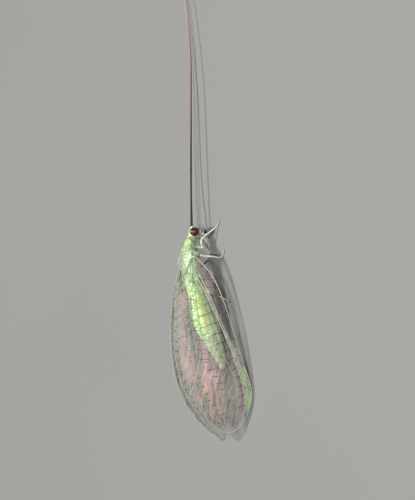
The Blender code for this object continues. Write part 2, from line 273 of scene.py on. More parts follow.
def add_hairs(form, roots, ways, lengths, radius, tints, places, droop=0.0):
    """Fine bristles of three sides, bent once and drawn out to a point, rooted a little below the surface."""
    count = len(roots)
    ways = unit(ways)
    helper = np.where(np.abs(ways[:, 2:]) < 0.9, [[0.0, 0.0, 1.0]], [[0.0, 1.0, 0.0]])
    across = unit(np.cross(ways, helper))
    other = np.cross(ways, across)
    half = np.broadcast_to(lengths, count)[:, None] * 0.5
    middle = roots + ways * half
    tip = middle + unit(ways + np.array([-droop, 0.0, 0.0])) * half
    points = []
    for base, width in ((roots - ways * radius * 2, radius), (middle, radius * 0.7)):
        for angle in turns(3):
            points.append(base + width * (np.cos(angle) * across + np.sin(angle) * other))
    points = np.stack([*points, tip], axis=1).reshape(-1, 3)
    corners = len(HAIR_MAP)
    faces = [tuple(corners * i + corner for corner in face) for i in range(count) for face in HAIR_FACES]
    tints = np.repeat(np.broadcast_to(tints, (count, 3)), corners, axis=0)
    places = np.broadcast_to(places, (count, 2))[:, None, :] + 0.003 * np.array(HAIR_MAP)[None]
    form.add(points, faces, tints, places.reshape(-1, 2))


def add_side_hairs(form, line, girth, at, tilt, length, radius, tints, strip, random):
    """Hairs round a limb at these places, tilted towards its end; near the floor they point up."""
    heading = unit(np.gradient(line, axis=0)[at])
    outwards = unit(np.cross(heading, random.normal(0, 1, heading.shape)))
    low = line[at][:, 2] - girth[at] < LOW_HAIRS
    outwards[low, 2] = np.abs(outwards[low, 2])
    roots = line[at] + outwards * girth[at][:, None] * 0.9
    places = np.stack([0.02 + 0.96 * at / len(line), np.full(len(at), strip)], axis=1)
    forwards, aside = tilt
    add_hairs(form, roots, heading * forwards + outwards * aside, length, radius, tints, places)


# Materials

class Nodes:
    """Short calls that add shader nodes to one material."""

    def __init__(self, name, **values):
        self.material = bpy.data.materials.new(name)
        self.material.use_nodes = True
        self.tree = self.material.node_tree
        self.shader = self.tree.nodes["Principled BSDF"]
        self.shade(**values)

    def put(self, socket, value):
        """Links what another node gives, or sets a constant; a colour may leave its alpha out."""
        if isinstance(value, bpy.types.NodeSocket):
            self.tree.links.new(value, socket)
        elif socket.type == "RGBA" and len(value) == 3:
            socket.default_value = (*value, 1.0)
        else:
            socket.default_value = value

    def shade(self, **values):
        """Sets inputs of the material's shader."""
        for title, value in values.items():
            self.put(self.shader.inputs[title.replace("_", " ")], value)

    def add(self, kind, output=0, settings=(), **inputs):
        node = self.tree.nodes.new(kind)
        for key, value in dict(settings).items():
            setattr(node, key, value)
        for title, value in inputs.items():
            self.put(node.inputs[title.replace("_", " ")], value)
        return node.outputs[output]

    def attribute(self, name, output="Color"):
        return self.add("ShaderNodeAttribute", output, {"attribute_name": name})

    def grain(self, scale, detail=3.0, roughness=0.5, vector=None):
        """Cloudy pattern, with its scale in patches for each metre, or along the vector if one is given."""
        if vector is None:
            vector = self.add("ShaderNodeTexCoord", "Object")
        return self.add("ShaderNodeTexNoise", "Fac", Vector=vector, Scale=scale, Detail=detail,
                        Roughness=roughness)

    def ramp(self, value, *stops):
        node = self.tree.nodes.new("ShaderNodeValToRGB")
        self.put(node.inputs["Fac"], value)
        elements = node.color_ramp.elements
        while len(elements) < len(stops):
            elements.new(0.5)
        for element, (place, colour) in zip(elements, stops):
            element.position = place
            element.color = (*np.broadcast_to(colour, 3), 1.0)
        return node.outputs["Color"]

    def mix(self, share, first, second, how="MIX"):
        node = self.tree.nodes.new("ShaderNodeMix")
        node.data_type = "RGBA"
        node.blend_type = how
        sockets = {socket.identifier: socket for socket in (*node.inputs, *node.outputs)}
        for title, value in (("Factor_Float", share), ("A_Color", first), ("B_Color", second)):
            self.put(sockets[title], value)
        return sockets["Result_Color"]

    def mottled(self, tint, scale, detail, darkest, clear_from=0.7):
        """The tint, darkened in cloudy patches."""
        patches = self.ramp(self.grain(scale, detail), (0.3, darkest), (clear_from, 1.0))
        return self.mix(1.0, tint, patches, "MULTIPLY")

    def reckon(self, how, *values):
        node = self.tree.nodes.new("ShaderNodeMath")
        node.operation = how
        for socket, value in zip(node.inputs, values):
            self.put(socket, value)
        return node.outputs[0]

    def bump(self, height, strength, distance):
        relief = self.add("ShaderNodeBump", "Normal", Height=height, Strength=strength,
                          Distance=distance / METRE)
        self.shade(Normal=relief)


def skin_material():
    """Soft waxy cuticle, mottled by the flesh under it and finely pebbled."""
    n = Nodes("cuticle", Subsurface_Weight=0.25, Subsurface_Radius=(0.6, 1.0, 0.3),
              Subsurface_Scale=0.00025, Specular_IOR_Level=0.4)
    tint = n.attribute("tint")
    flecks = n.ramp(n.grain(5200, 4), (0.35, 0.0), (0.72, 1.0))
    tint = n.mix(n.reckon("MULTIPLY", flecks, 0.3), tint, n.mix(0.3, tint, (0.9, 0.95, 0.7)))
    n.shade(Base_Color=n.mottled(tint, 2300, 3, 0.86, 0.65),
            Roughness=n.reckon("MULTIPLY_ADD", n.grain(9000, 2), 0.16, 0.27))
    n.bump(n.grain(16000, 3), 0.1, 0.02)
    return n.material


def plain_material(name, roughness, grain_scale, **values):
    """Takes its colour from the piece's own points, a little uneven, with a fine grain."""
    n = Nodes(name, Roughness=roughness, **values)
    n.shade(Base_Color=n.mottled(n.attribute("tint"), grain_scale, 3, 0.8))
    n.bump(n.grain(grain_scale * 3, 2), 0.25, 0.01)
    return n.material


def eye_material():
    """Glossy dark maroon, with painted shade that makes it blacker towards the rim."""
    n = Nodes("eye", Roughness=0.3, Coat_Weight=0.4, Coat_Roughness=0.25, Specular_Tint=(1.0, 0.72, 0.72))
    n.shade(Base_Color=n.mottled(n.attribute("tint"), 2500, 2, 0.6))
    return n.material


def membrane_material():
    """Clear film with interference colours that run in streaks along the wing; its tint also holds painted
    shade.
    """
    n = Nodes("membrane", Roughness=0.5, Specular_IOR_Level=0.06, Thin_Film_Thickness=397.0,
              Thin_Film_IOR=1.25)
    streaks = n.ramp(n.grain(1.0, 4, 0.6, n.attribute("flow", "Vector")), (0.3, 0.0), (0.68, 1.0))
    tint = n.attribute("tint")
    darker, lighter = (n.mix(1.0, tint, colour, "MULTIPLY") for colour in (STREAK_DARK, STREAK_LIGHT))
    patches = n.ramp(n.grain(1600, 4, 0.6), (0.36, 0.5), (0.62, 1.15))
    veil = n.reckon("MULTIPLY", n.attribute("veil", "Fac"), patches)
    cloud = n.reckon("MULTIPLY_ADD", streaks, 0.95, 0.5)
    n.shade(Base_Color=n.mix(streaks, darker, lighter), Alpha=n.reckon("MULTIPLY", veil, cloud))
    n.bump(n.grain(9000, 3), 0.2, 0.01)
    return n.material


# Wings

ROOF_SLOPE = math.radians(57)
WING_ARCH = 0.115
HINDWING_INSET = 0.7
STREAK_BEND = 0.4
STREAKS_BEND_FROM = 6.6
STREAKS_ALONG = 0.45
STREAKS_ACROSS = 5.2
FILM_STATIONS = 170
FILM_ROWS = 50
CLEAR_HIND_MARGIN = 0.13
ROOTS_GREEN_TO = 2.3
LEFT_WINGS_REACH = 1.03
WING_MAP_LENGTH, WING_MAP_LOW, WING_MAP_HEIGHT = 14.0, -4.0, 6.0
DOWN_SLOPE = np.array([0.0, math.cos(ROOF_SLOPE), -math.sin(ROOF_SLOPE)])
OUT_OF_SLOPE = np.array([0.0, math.sin(ROOF_SLOPE), math.cos(ROOF_SLOPE)])

# Edges of the roof that the forewings form: distance behind the middle of the thorax, distance down the
# slope, and distance out from the midline
ROOF_COSTA = (
    (0.45, -1.02, 1.1), (1.5, -0.3, 1.7), (2.9, 0.25, 2.22), (4.4, 0.57, 2.52), (6.2, 0.84, 2.8),
    (7.9, 1.15, 2.95), (9.5, 1.42, 3.03), (10.8, 1.53, 2.96), (11.8, 1.15, 2.4), (12.6, 0.4, 1.5),
    (13.05, -0.5, 0.75), (13.45, -0.8, 0.45),
)
ROOF_HIND = (
    (0.5, -1.42, 0.78), (1.1, -1.75, 0.6), (1.9, -2.29, 0.4), (3.0, -2.8, 0.28), (4.0, -3.06, 0.27),
    (5.8, -3.38, 0.27), (7.6, -3.5, 0.27), (9.3, -3.38, 0.27), (10.6, -3.0, 0.28), (11.8, -2.3, 0.31),
    (12.6, -1.6, 0.34), (13.05, -1.0, 0.37), (13.45, -0.85, 0.38),
)

# Outlines of the wings, root to tip, as distance behind the thorax and distance down the slope
FORE_COSTA = (
    (0.45, -1.02), (0.76, -0.83), (1.11, -0.56), (1.95, -0.08), (2.98, 0.27), (4.36, 0.57), (6.25, 0.86),
    (8.49, 1.19), (9.58, 1.37), (10.63, 1.48), (11.27, 1.4), (11.91, 1.15), (12.48, 0.77), (12.95, 0.3),
    (13.24, -0.16), (13.33, -0.62),
)
FORE_HIND = (
    (0.5, -1.42), (0.9, -1.61), (1.4, -1.92), (1.9, -2.27), (2.45, -2.58), (3.1, -2.83), (5.19, -3.28),
    (6.84, -3.5), (8.15, -3.52), (9.27, -3.44), (10.43, -3.13), (11.51, -2.62), (12.3, -2.08), (12.85, -1.6),
    (13.2, -1.12), (13.33, -0.62),
)
HIND_COSTA = (
    (2.05, -1.1), (3.0, -0.6), (4.3, -0.05), (6.0, 0.35), (7.8, 0.62), (9.4, 0.85), (10.8, 0.8),
    (11.8, 0.35), (12.25, -0.05), (12.4, -0.42),
)
HIND_HIND = (
    (2.15, -1.45), (2.9, -1.75), (4.2, -1.9), (5.9, -1.95), (7.6, -1.95), (9.3, -1.9), (10.7, -1.65),
    (11.7, -1.15), (12.2, -0.78), (12.4, -0.42),
)

# Lengthwise veins of the wings
FORE_VEINS = {
    "subcosta": ((0.46, -1.09), (1.1, -1.08), (1.7, -0.96), (2.38, -0.75), (3.05, -0.54), (3.89, -0.3),
                 (5.4, 0.1), (6.32, 0.34), (7.69, 0.71), (8.7, 0.95), (9.6, 1.16), (10.5, 1.42)),
    "radius": ((0.47, -1.16), (1.3, -1.22), (2.12, -1.06), (2.7, -0.86), (3.82, -0.52), (5.21, -0.12),
               (6.29, 0.17), (7.67, 0.53), (8.66, 0.69), (9.81, 0.87), (10.46, 0.94), (11.3, 0.9),
               (12.0, 0.7), (12.6, 0.42), (13.05, 0.08)),
    "sector": ((1.7, -1.14), (2.6, -1.12), (3.7, -1.03), (4.84, -0.93), (5.71, -0.88), (6.5, -0.72),
               (7.15, -0.48), (7.73, -0.2), (8.38, 0.06), (8.94, 0.24), (9.56, 0.42), (10.3, 0.48),
               (11.3, 0.4), (12.3, 0.06), (13.25, -0.28)),
    "inner": ((0.48, -1.22), (1.5, -1.3), (2.2, -1.33), (3.0, -1.38), (4.3, -1.42), (5.2, -1.5),
              (5.9, -1.42), (6.8, -1.3), (7.8, -1.15), (8.7, -1.06)),
    "outer": ((0.49, -1.3), (1.5, -1.58), (2.2, -1.72), (2.98, -1.82), (4.22, -1.96), (5.11, -2.03),
              (5.84, -1.98), (7.31, -1.92), (8.3, -2.0), (9.11, -2.18)),
    "stigma": ((9.0, 0.92), (9.8, 1.08), (10.6, 1.2), (11.2, 1.16), (11.8, 0.95)),
    "anal_one": ((0.49, -1.34), (1.3, -1.66), (2.1, -2.06), (3.0, -2.5), (3.9, -3.05)),
    "anal_two": ((0.5, -1.38), (1.1, -1.68), (1.7, -2.06), (2.5, -2.68)),
}
HIND_VEINS = {
    "subcosta": ((2.1, -1.15), (3.0, -0.78), (4.3, -0.3), (6.0, 0.08), (7.8, 0.38), (8.6, 0.52), (9.2, 0.76)),
    "radius": ((2.1, -1.22), (3.0, -0.9), (4.3, -0.45), (6.0, -0.08), (7.8, 0.2), (9.4, 0.42),
               (10.8, 0.42), (11.6, 0.2), (12.1, 0.05)),
    "sector": ((2.9, -0.98), (4.3, -0.78), (6.0, -0.5), (7.8, -0.25), (9.4, -0.05), (10.8, 0.0),
               (11.6, -0.12), (12.35, -0.3)),
    "inner": ((2.15, -1.28), (3.0, -1.15), (4.3, -1.08), (5.9, -0.98), (7.6, -0.85), (8.6, -0.75)),
    "outer": ((2.15, -1.36), (3.0, -1.42), (4.3, -1.45), (5.9, -1.42), (7.6, -1.38), (8.8, -1.4)),
}

# Veins that run out to the tip: start on the sector, place on the outer row of steps, and margin
FORE_BRANCHES = (
    ((5.9, -0.82), (9.11, -2.18), (10.6, -3.07)),
    ((6.5, -0.72), (9.76, -2.05), (11.3, -2.73)),
    ((7.1, -0.5), (10.3, -1.9), (11.85, -2.4)),
    ((7.7, -0.24), (10.75, -1.68), (12.3, -2.08)),
    ((8.3, -0.06), (11.13, -1.46), (12.68, -1.76)),
    ((8.9, 0.08), (11.48, -1.22), (12.97, -1.46)),
    ((9.5, 0.18), (11.8, -0.98), (13.15, -1.2)),
    ((10.1, 0.25), (12.1, -0.74), (13.27, -0.92)),
    ((10.8, 0.27), (12.38, -0.5), (13.32, -0.66)),
)
HIND_BRANCHES = (
    ((6.2, -0.47), (8.8, -1.4), (9.9, -1.82)),
    ((6.9, -0.38), (9.5, -1.25), (10.7, -1.65)),
    ((7.6, -0.28), (10.1, -1.08), (11.3, -1.38)),
    ((8.3, -0.18), (10.6, -0.88), (11.8, -1.07)),
    ((9.0, -0.1), (11.0, -0.66), (12.15, -0.8)),
    ((9.8, -0.02), (11.4, -0.45), (12.35, -0.55)),
)

# Colours of the film, which shimmers in bands; two of the bands also carry painted shade
FILM_GREY = (0.28, 0.25, 0.235)
STIGMA_GREEN = (0.25, 0.345, 0.195)
STIGMA_VEIN = (0.30, 0.40, 0.24)
STREAK_DARK = (0.72, 0.74, 0.77)
STREAK_LIGHT = (1.35, 1.25, 1.25)
MAUVE = (0.305, 0.222, 0.21)
# Teal shimmer, darkened as painted shade of the dark gap seen through the film
TEAL_WITH_PAINTED_SHADE = (0.07, 0.11, 0.10)
ROSE = (0.335, 0.222, 0.213)
MAGENTA = (0.17, 0.10, 0.128)

# Bands of these colours: line along the wing, half width, colour, strength and veil
FORE_BANDS = (
    (((2.9, -2.3), (4.1, -2.48), (6.1, -2.71), (7.8, -2.65), (9.4, -2.75)), 0.4, MAUVE, 0.95, 0.36),
    # Teal band: shimmer, darkened as painted shade of the gap behind the wing
    (((3.6, -1.95), (5.3, -2.06), (7.0, -2.03), (8.9, -2.12)), 0.24, TEAL_WITH_PAINTED_SHADE, 0.95, 0.6),
    (((6.5, -1.42), (8.0, -1.42), (9.0, -1.52), (10.1, -1.78), (11.0, -2.35)), 0.19, ROSE, 1.0, 0.48),
    (((8.2, -0.86), (8.6, -0.97), (9.6, -1.3), (10.7, -1.49), (12.2, -1.62)), 0.16, ROSE, 1.0, 0.42),
    (((8.9, -0.72), (10.0, -0.95), (10.8, -1.0), (12.6, -1.2)), 0.13, ROSE, 0.9, 0.38),
    (((9.4, -0.4), (10.9, -0.54), (12.4, -0.8)), 0.07, (0.36, 0.24, 0.20), 0.9, 0.35),
    (((8.4, 0.02), (9.6, -0.13), (10.2, -0.27)), 0.12, (0.08, 0.08, 0.05), 0.9, 0.3),
    (((10.2, -0.2), (11.2, -0.08), (12.4, -0.2)), 0.13, (0.25, 0.215, 0.145), 1.0, 0.4),
    (((8.2, 0.3), (9.1, 0.62), (10.3, 0.76), (11.1, 0.76), (12.1, 0.6)), 0.13, MAGENTA, 1.0, 0.5),
    (((0.8, -0.95), (1.4, -0.76), (2.5, -0.5)), 0.2, (0.17, 0.145, 0.095), 0.95, 0.5),
    (((2.2, -0.5), (2.8, -0.3), (3.4, -0.1)), 0.18, (0.30, 0.22, 0.21), 0.9, 0.42),
    # Dark band in the costal field: painted shadow, standing in for the shade on the floor seen through the
    # film
    (((3.2, -0.02), (4.6, 0.25), (7.5, 0.85)), 0.24, (0.035, 0.05, 0.045), 0.95, 0.62),
    (((2.9, -0.68), (3.9, -0.4), (5.3, -0.02), (6.3, 0.26), (7.7, 0.62), (8.9, 0.84)), 0.08,
     (0.36, 0.38, 0.30), 1.0, 0.6),
)
HIND_BANDS = (
    (((3.5, -1.0), (6.5, -1.15), (9.0, -1.2), (11.5, -0.8)), 0.4, (0.50, 0.34, 0.34), 0.9, 0.06),
    (((4.0, -0.4), (8.0, 0.0), (11.0, 0.2)), 0.3, (0.30, 0.40, 0.40), 0.8, 0.05),
)

# What differs between the two pairs of wings. Ladders are places of cross-veins as distance back, or the
# first, the last and the step between them.
FOREWING = SimpleNamespace(
    name="forewing", inset=0.0, size=1.0, costa=FORE_COSTA, hind=FORE_HIND, costa_radius=0.042,
    vein_light=1.0, veins=FORE_VEINS, branches=FORE_BRANCHES, branch_drop=-0.5, bands=FORE_BANDS, veil=0.09,
    stigma=(8.2, 12.3), costal_ladder=(1.1, 9.4, 0.58), under_subcosta=(1.4, 9.0),
    under_stigma=(9.7, 10.15, 10.6, 11.05, 11.5, 11.95, 12.35),
    radial_ladder=(2.55, 3.3, 4.0, 4.68, 5.5, 6.27, 6.95, 7.6, 8.25, 8.93, 9.55, 10.2, 10.9, 11.6),
    sector_ladder=(2.55, 3.3, 4.0, 4.68, 5.5, 6.05), dark_sector_steps=(4.68, 5.5, 6.05),
    inner_ladder=(1.7, 2.3, 2.95, 3.6, 4.27, 5.15, 5.88, 6.6, 7.3, 8.0),
    forks=(2.1, 9.1, 0.58), fork_slant=0.7,
)
HINDWING = SimpleNamespace(
    name="hindwing", inset=HINDWING_INSET, size=0.8, costa=HIND_COSTA, hind=HIND_HIND, costa_radius=0.032,
    vein_light=0.62, veins=HIND_VEINS, branches=HIND_BRANCHES, branch_drop=-0.3, bands=HIND_BANDS, veil=0.03,
    stigma=(8.6, 11.0), costal_ladder=(2.6, 8.8, 0.6), under_subcosta=(3.0,), under_stigma=(),
    radial_ladder=(3.4, 4.3, 5.2, 6.1, 7.0, 7.9, 8.7, 9.5, 10.3, 11.0),
    sector_ladder=(3.4, 4.3, 5.2, 6.1), dark_sector_steps=(), inner_ladder=(3.0, 3.9, 4.8, 5.7, 6.6, 7.5),
    forks=(3.0, 8.9, 0.6), fork_slant=0.35,
)


def edge_of_roof(edge, back):
    """Distances down the slope and square to it at the roof's edge, this far back."""
    edge = np.asarray(edge)
    fine = spline(edge, np.linspace(0, 1, 200))
    down = np.interp(back, fine[:, 0], fine[:, 1])
    out = np.interp(back, fine[:, 0], fine[:, 2])
    return down, (out - down * math.cos(ROOF_SLOPE)) / math.sin(ROOF_SLOPE)


def on_roof(places, inset, side):
    """Points on the arched roof for places given as distance back and distance down the slope."""
    back, down = np.asarray(places, float).T
    costa, costa_lift = edge_of_roof(ROOF_COSTA, back)
    hind, hind_lift = edge_of_roof(ROOF_HIND, back)
    across = np.clip((down - hind) / np.maximum(costa - hind, 0.05), 0, 1)
    arch = WING_ARCH * (costa - hind) * 4 * across * (1 - across)
    height = hind_lift + (costa_lift - hind_lift) * across + arch - inset
    points = down[:, None] * DOWN_SLOPE + height[:, None] * OUT_OF_SLOPE
    points[:, 0] = -back * (LEFT_WINGS_REACH if side > 0 else 1.0)
    points[:, 1] *= side
    return points


def on_map(places):
    """Place on the wing's map, which is the wing laid flat."""
    places = np.asarray(places, float)
    return np.stack([places[:, 0] / WING_MAP_LENGTH, (places[:, 1] - WING_MAP_LOW) / WING_MAP_HEIGHT], axis=1)


def read_off(curve, back):
    """Place on a curve of the wing, this far back."""
    return back, float(np.interp(back, curve[:, 0], curve[:, 1]))


class Wing:
    """Veins and membrane of one wing, both laid on the same arched roof."""

    def __init__(self, kind, side, random):
        self.kind = kind
        self.side = side
        self.random = random
        self.form = Form()
        fine = np.linspace(0, 1, 300)
        curves = {**kind.veins, "costa": kind.costa, "hind": kind.hind}
        self.curves = {title: spline(points, fine) for title, points in curves.items()}

    def at(self, title, back):
        return read_off(self.curves[title], back)

    def vein(self, places, radius, end_radius, tint, smooth=True, step=0.1, sides=6, green_root=True):
        """Tube along the wing, green near the root; those of the hindwings are duller."""
        places = stretch(places, step, smooth)
        line = on_roof(places, self.kind.inset, self.side)
        radii = np.linspace(radius, end_radius, len(line))
        rooted = 0.8 * smoothstep((ROOTS_GREEN_TO - places[:, 0]) / 0.9) * green_root
        tints = blend_colour(np.multiply(tint, self.kind.vein_light), ROOT_GREEN, rooted)
        flat_places = np.repeat(on_map(places), sides, axis=0)
        flat_places[:, 1] += np.tile(np.cos(turns(sides)), len(line)) * 0.004
        faces = tube_faces(len(line), sides)
        self.form.add(rings(line, radii, sides), faces, np.repeat(tints, sides, axis=0), flat_places)

    def cross(self, first, second, tint=DARK, radius=0.021):
        """Short straight vein between two places."""
        if self.kind is HINDWING:
            tint, radius = TAN, radius * 0.7
        self.vein([first, second], radius, radius, tint, smooth=False, step=0.08, sides=5)

    def forked(self, first, second, radius=0.015, spread=0.14):
        """Vein that splits half way into two that end side by side on the margin."""
        first, second = np.array(first), np.array(second)
        split = first + (second - first) * 0.5
        self.vein([first, split], radius, radius, FILM_VEIN, smooth=False)
        for way in (-spread, spread):
            self.vein([split, second + (way, 0.0)], radius, radius * 0.7, FILM_VEIN, smooth=False)

    def bristles(self, places, length, spacing, tint, outwards):
        """Short hairs along a vein, pointing towards the tip and away from the membrane."""
        places = stretch(places, spacing, smooth=False)
        line = on_roof(places, self.kind.inset, self.side)
        heading = unit(np.gradient(line, axis=0))
        slope, normal = mirrored((DOWN_SLOPE, OUT_OF_SLOPE), self.side)
        ways = heading * 0.7 + slope * outwards + normal * self.random.uniform(0.1, 0.7, (len(line), 1))
        ways += self.random.normal(0, 0.15, ways.shape)
        lengths = length * self.random.uniform(0.7, 1.2, len(line))
        add_hairs(self.form, line, ways, lengths, BRISTLE_RADIUS, tint, on_map(places), droop=0.1)

    def membrane(self):
        """Film inside the outline, with its colour, how much it veils and where its streaks run."""
        t = np.repeat(np.linspace(0, 1, FILM_STATIONS), FILM_ROWS)
        across = np.tile(np.linspace(0, 1, FILM_ROWS), FILM_STATIONS)
        front, rear = spline(self.kind.costa, t), spline(self.kind.hind, t)
        places = front + (rear - front) * across[:, None]
        faces = []
        for i in range(FILM_STATIONS - 1):
            for j in range(FILM_ROWS - 1):
                a = i * FILM_ROWS + j
                corners = (a, a + FILM_ROWS, a + FILM_ROWS + 1, a + 1)
                if i == FILM_STATIONS - 2:
                    corners = (a, a + FILM_ROWS, a + 1)
                faces.append(corners[::self.side])
        film = Form()
        surface = on_roof(places, self.kind.inset, self.side)
        film.add(surface, faces, self.film_colours(places), on_map(places))
        return film, self.film_veil(places, across), self.flow(places)

    def stigma(self, places):
        """How strongly places lie on the opaque mark near the tip, from 0 to 1."""
        back, down = places.T
        first, last = self.kind.stigma
        radius = self.curves["radius"]
        above = np.interp(back, radius[:, 0], radius[:, 1])
        inside = smoothstep((back - first) / 1.6) * smoothstep((last - back) / 0.6)
        return inside * smoothstep((down - above) / 0.1)

    def film_colours(self, places):
        tint = np.broadcast_to(FILM_GREY, (len(places), 3))
        for line, half_width, colour, strength, _ in self.kind.bands:
            tint = blend_colour(tint, colour, band(places, line, half_width) * strength)
        return blend_colour(tint, STIGMA_GREEN, self.stigma(places))

    def film_veil(self, places, across):
        """How much of what is behind the film each place hides."""
        back = places[:, 0]
        veil = self.kind.veil * (smoothstep((back - 1.0) / 2.0) + 2 * smoothstep((back - 6.5) / 2.5))
        for line, half_width, _, _, amount in self.kind.bands:
            veil += band(places, line, half_width) * amount
        veil *= 0.4 + 0.6 * smoothstep((1 - across) / CLEAR_HIND_MARGIN)
        rim = np.maximum(bell(across, 0, 0.02), bell(across, 1, 0.02)) * 0.15
        return np.clip(veil + rim + self.stigma(places) * 1.1, 0, 1.4)

    def flow(self, places):
        """Where each place lies along and across the streaks, which bend with the veins towards the tip."""
        back, down = places.T
        bend = STREAK_BEND * np.logaddexp(0, (back - STREAKS_BEND_FROM) * 2) / 2
        layer = np.full(len(back), self.side * 3.0 + self.kind.inset)
        return np.stack([back * STREAKS_ALONG, (down + bend) * STREAKS_ACROSS, layer], axis=1)


def band(places, line, half_width, fade=0.5):
    """How strongly places lie on a band that follows a line along the wing, from 0 to 1."""
    line = np.asarray(line)
    back, down = places.T
    middle = np.interp(back, line[:, 0], line[:, 1])
    inside = smoothstep((back - line[0, 0]) / fade + 0.5) * smoothstep((line[-1, 0] - back) / fade + 0.5)
    return bell(down, middle, half_width) * inside


def lay_veins(wing):
    """All the veins of one wing, from the thick edge to the forks on the hind margin."""
    kind, size = wing.kind, wing.kind.size
    wing.vein(kind.costa, kind.costa_radius, 0.02, COSTA_BEIGE, green_root=False)
    wing.vein(kind.hind, 0.018, 0.018, HIND_MARGIN)
    wing.vein(wing.curves["subcosta"][::6], 0.032 * size, 0.02 * size, VEIN_CREAM)
    wing.vein(wing.curves["radius"][::6], 0.04 * size, 0.02 * size, VEIN_CREAM)
    wing.vein(wing.curves["sector"][::6], 0.018 * size, 0.014, FILM_VEIN)
    for title in ("inner", "outer"):
        zigzag = stretch(wing.curves[title], 0.36 * size + 0.05, smooth=False)
        zigzag[1:-1, 1] += np.where(np.arange(len(zigzag) - 2) % 2, 0.035, -0.035)
        wing.vein(zigzag, 0.018 * size, 0.014, FILM_VEIN, smooth=False, step=0.06)
    for title, radius, end_radius, tint in (
        ("stigma", 0.024, 0.018, STIGMA_VEIN), ("anal_one", 0.016, 0.013, FILM_VEIN),
        ("anal_two", 0.016, 0.013, FILM_VEIN),
    ):
        if title in wing.curves:
            wing.vein(wing.curves[title][::10], radius, end_radius, tint)
    lay_costal_field(wing)
    branches = lay_sector_branches(wing)
    lay_hind_forks(wing)
    wing.bristles(kind.hind[-2::-1], 0.11, 0.045, WHITE_HAIR, -0.9)
    wing.bristles(kind.costa, 0.08, 0.07, WHITE_HAIR, 0.8)
    for title in ("radius", "sector", "inner", "outer"):
        wing.bristles(wing.curves[title][::4], 0.07, 0.2, TAN, -0.3)
    for branch in branches:
        wing.bristles(branch, 0.07, 0.18, TAN, -0.3)


def lay_costal_field(wing):
    """Cross-veins in front of the radius: a ladder to the costa, and a few to the subcosta."""
    first, last, step = wing.kind.costal_ladder
    back = first
    while back < last:
        start, end = np.array(wing.at("subcosta", back)), np.array(wing.at("costa", back + 0.12))
        for near, far, radius, end_radius, tint in (
            (0.0, 0.35, 0.018, 0.016, DARK), (0.35, 0.65, 0.016, 0.016, BROWN),
            (0.65, 1.0, 0.016, 0.018, DARK),
        ):
            ends = [start + (end - start) * share for share in (near, far)]
            wing.vein(ends, radius, end_radius, tint, smooth=False, sides=5)
        back += step * (1.0 + 0.12 * smoothstep((back - first) / 2.5))
    for back in wing.kind.under_subcosta:
        wing.cross(wing.at("subcosta", back), wing.at("radius", back + 0.05), BROWN, 0.019)
    for back in wing.kind.under_stigma:
        wing.cross(wing.at("radius", back), wing.at("costa", back + 0.25), CREAM_GREEN, 0.018)


def lay_sector_branches(wing):
    """Cross-veins between radius and sector, the branches towards the tip, and the two rows of steps."""
    kind = wing.kind
    for back in kind.radial_ladder:
        wing.cross(wing.at("radius", back), wing.at("sector", back + 0.17))
    for back in kind.sector_ladder:
        tint, radius = (DARK, 0.019) if back in kind.dark_sector_steps else (TAN, 0.014)
        wing.cross(wing.at("sector", back + 0.17), wing.at("inner", back + 0.3), tint, radius)
    for back in kind.inner_ladder:
        wing.cross(wing.at("inner", back + 0.1), wing.at("outer", back - 0.05))
    branches = []
    for start, step, end in np.array(kind.branches):
        bend = start + (0.75, kind.branch_drop)
        trunk = stretch([start, bend + (step - bend) * 0.12, step], 0.1)
        wing.vein(trunk, 0.016, 0.015, FILM_VEIN)
        split = step + (end - step) * 0.42
        wing.vein([step, split], 0.015, 0.014, FILM_VEIN, smooth=False)
        for way in (-0.5, 0.5):
            tip = wing.at("hind", end[0] + 0.16 * kind.size * way)
            wing.vein([split, tip], 0.014, 0.011, FILM_VEIN, smooth=False)
        branches.append(np.vstack([trunk, [split]]))
    for row in (0.5, 0.97):
        for first, second in zip(branches, branches[1:]):
            back = first[0, 0] + (first[-1, 0] - first[0, 0]) * row * 0.9
            wing.cross(read_off(first, back), read_off(second, back))
    return branches


def lay_hind_forks(wing):
    """Forked veins behind the outermost lengthwise vein, slanting to the hind margin."""
    for back in np.arange(*wing.kind.forks):
        wing.forked(wing.at("outer", back), wing.at("hind", back + wing.kind.fork_slant))


def make_wings(random):
    film, vein = membrane_material(), plain_material("vein", 0.38, 4000)
    for side_name, side in SIDES:
        for kind in (FOREWING, HINDWING):
            name = f"{kind.name}_{side_name}"
            wing = Wing(kind, side, random)
            lay_veins(wing)
            sheet, veil, flow = wing.membrane()
            membrane = sheet.piece("membrane_" + name, film, veil, flow)
            veins = wing.form.piece("veins_" + name, vein)
            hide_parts(name)


# Body

# Middle line of the body: station, height of the middle and radius
BODY_LINE = np.array([
    (1.95, 1.16, 0.30), (1.3, 1.24, 0.34), (1.1, 1.38, 0.33), (0.9, 1.52, 0.40), (0.5, 1.66, 0.48),
    (0.2, 1.78, 0.54), (0.0, 1.88, 0.60), (-0.4, 1.98, 0.66), (-1.0, 2.0, 0.67), (-1.5, 1.98, 0.62),
    (-1.75, 1.93, 0.60), (-2.2, 1.88, 0.60), (-2.65, 1.78, 0.60), (-2.95, 1.72, 0.64), (-3.6, 1.65, 0.75),
    (-4.4, 1.53, 0.82), (-5.2, 1.36, 0.82), (-6.0, 1.1, 0.79), (-6.8, 0.86, 0.72), (-7.4, 0.68, 0.62),
    (-8.0, 0.55, 0.5), (-8.4, 0.48, 0.38), (-8.62, 0.45, 0.2),
])
SEGMENT_EDGES = (-2.78, -3.3, -3.95, -4.65, -5.35, -6.05, -6.72, -7.35, -7.9, -8.3)
# Round pale marks on the flanks near the tail: place of the left one, and how wide they are
CALLUSES = (((-6.99, 0.40, 1.37), 0.075), ((-8.28, 0.34, 0.74), 0.085))
HEAD_CENTRE = np.array([1.51, 0.0, 1.08])
HEAD_ROLL = math.radians(22)
EYE_RADIUS = 0.33
EYE_OUT = 0.5
EYE_UP = 0.06
EYE_BURIED_BELOW = -0.35
FACET_DEPTH = 0.011
ABDOMEN_FROM = -2.6
FOLD_DEPTH = 0.034
VOXEL = 0.021
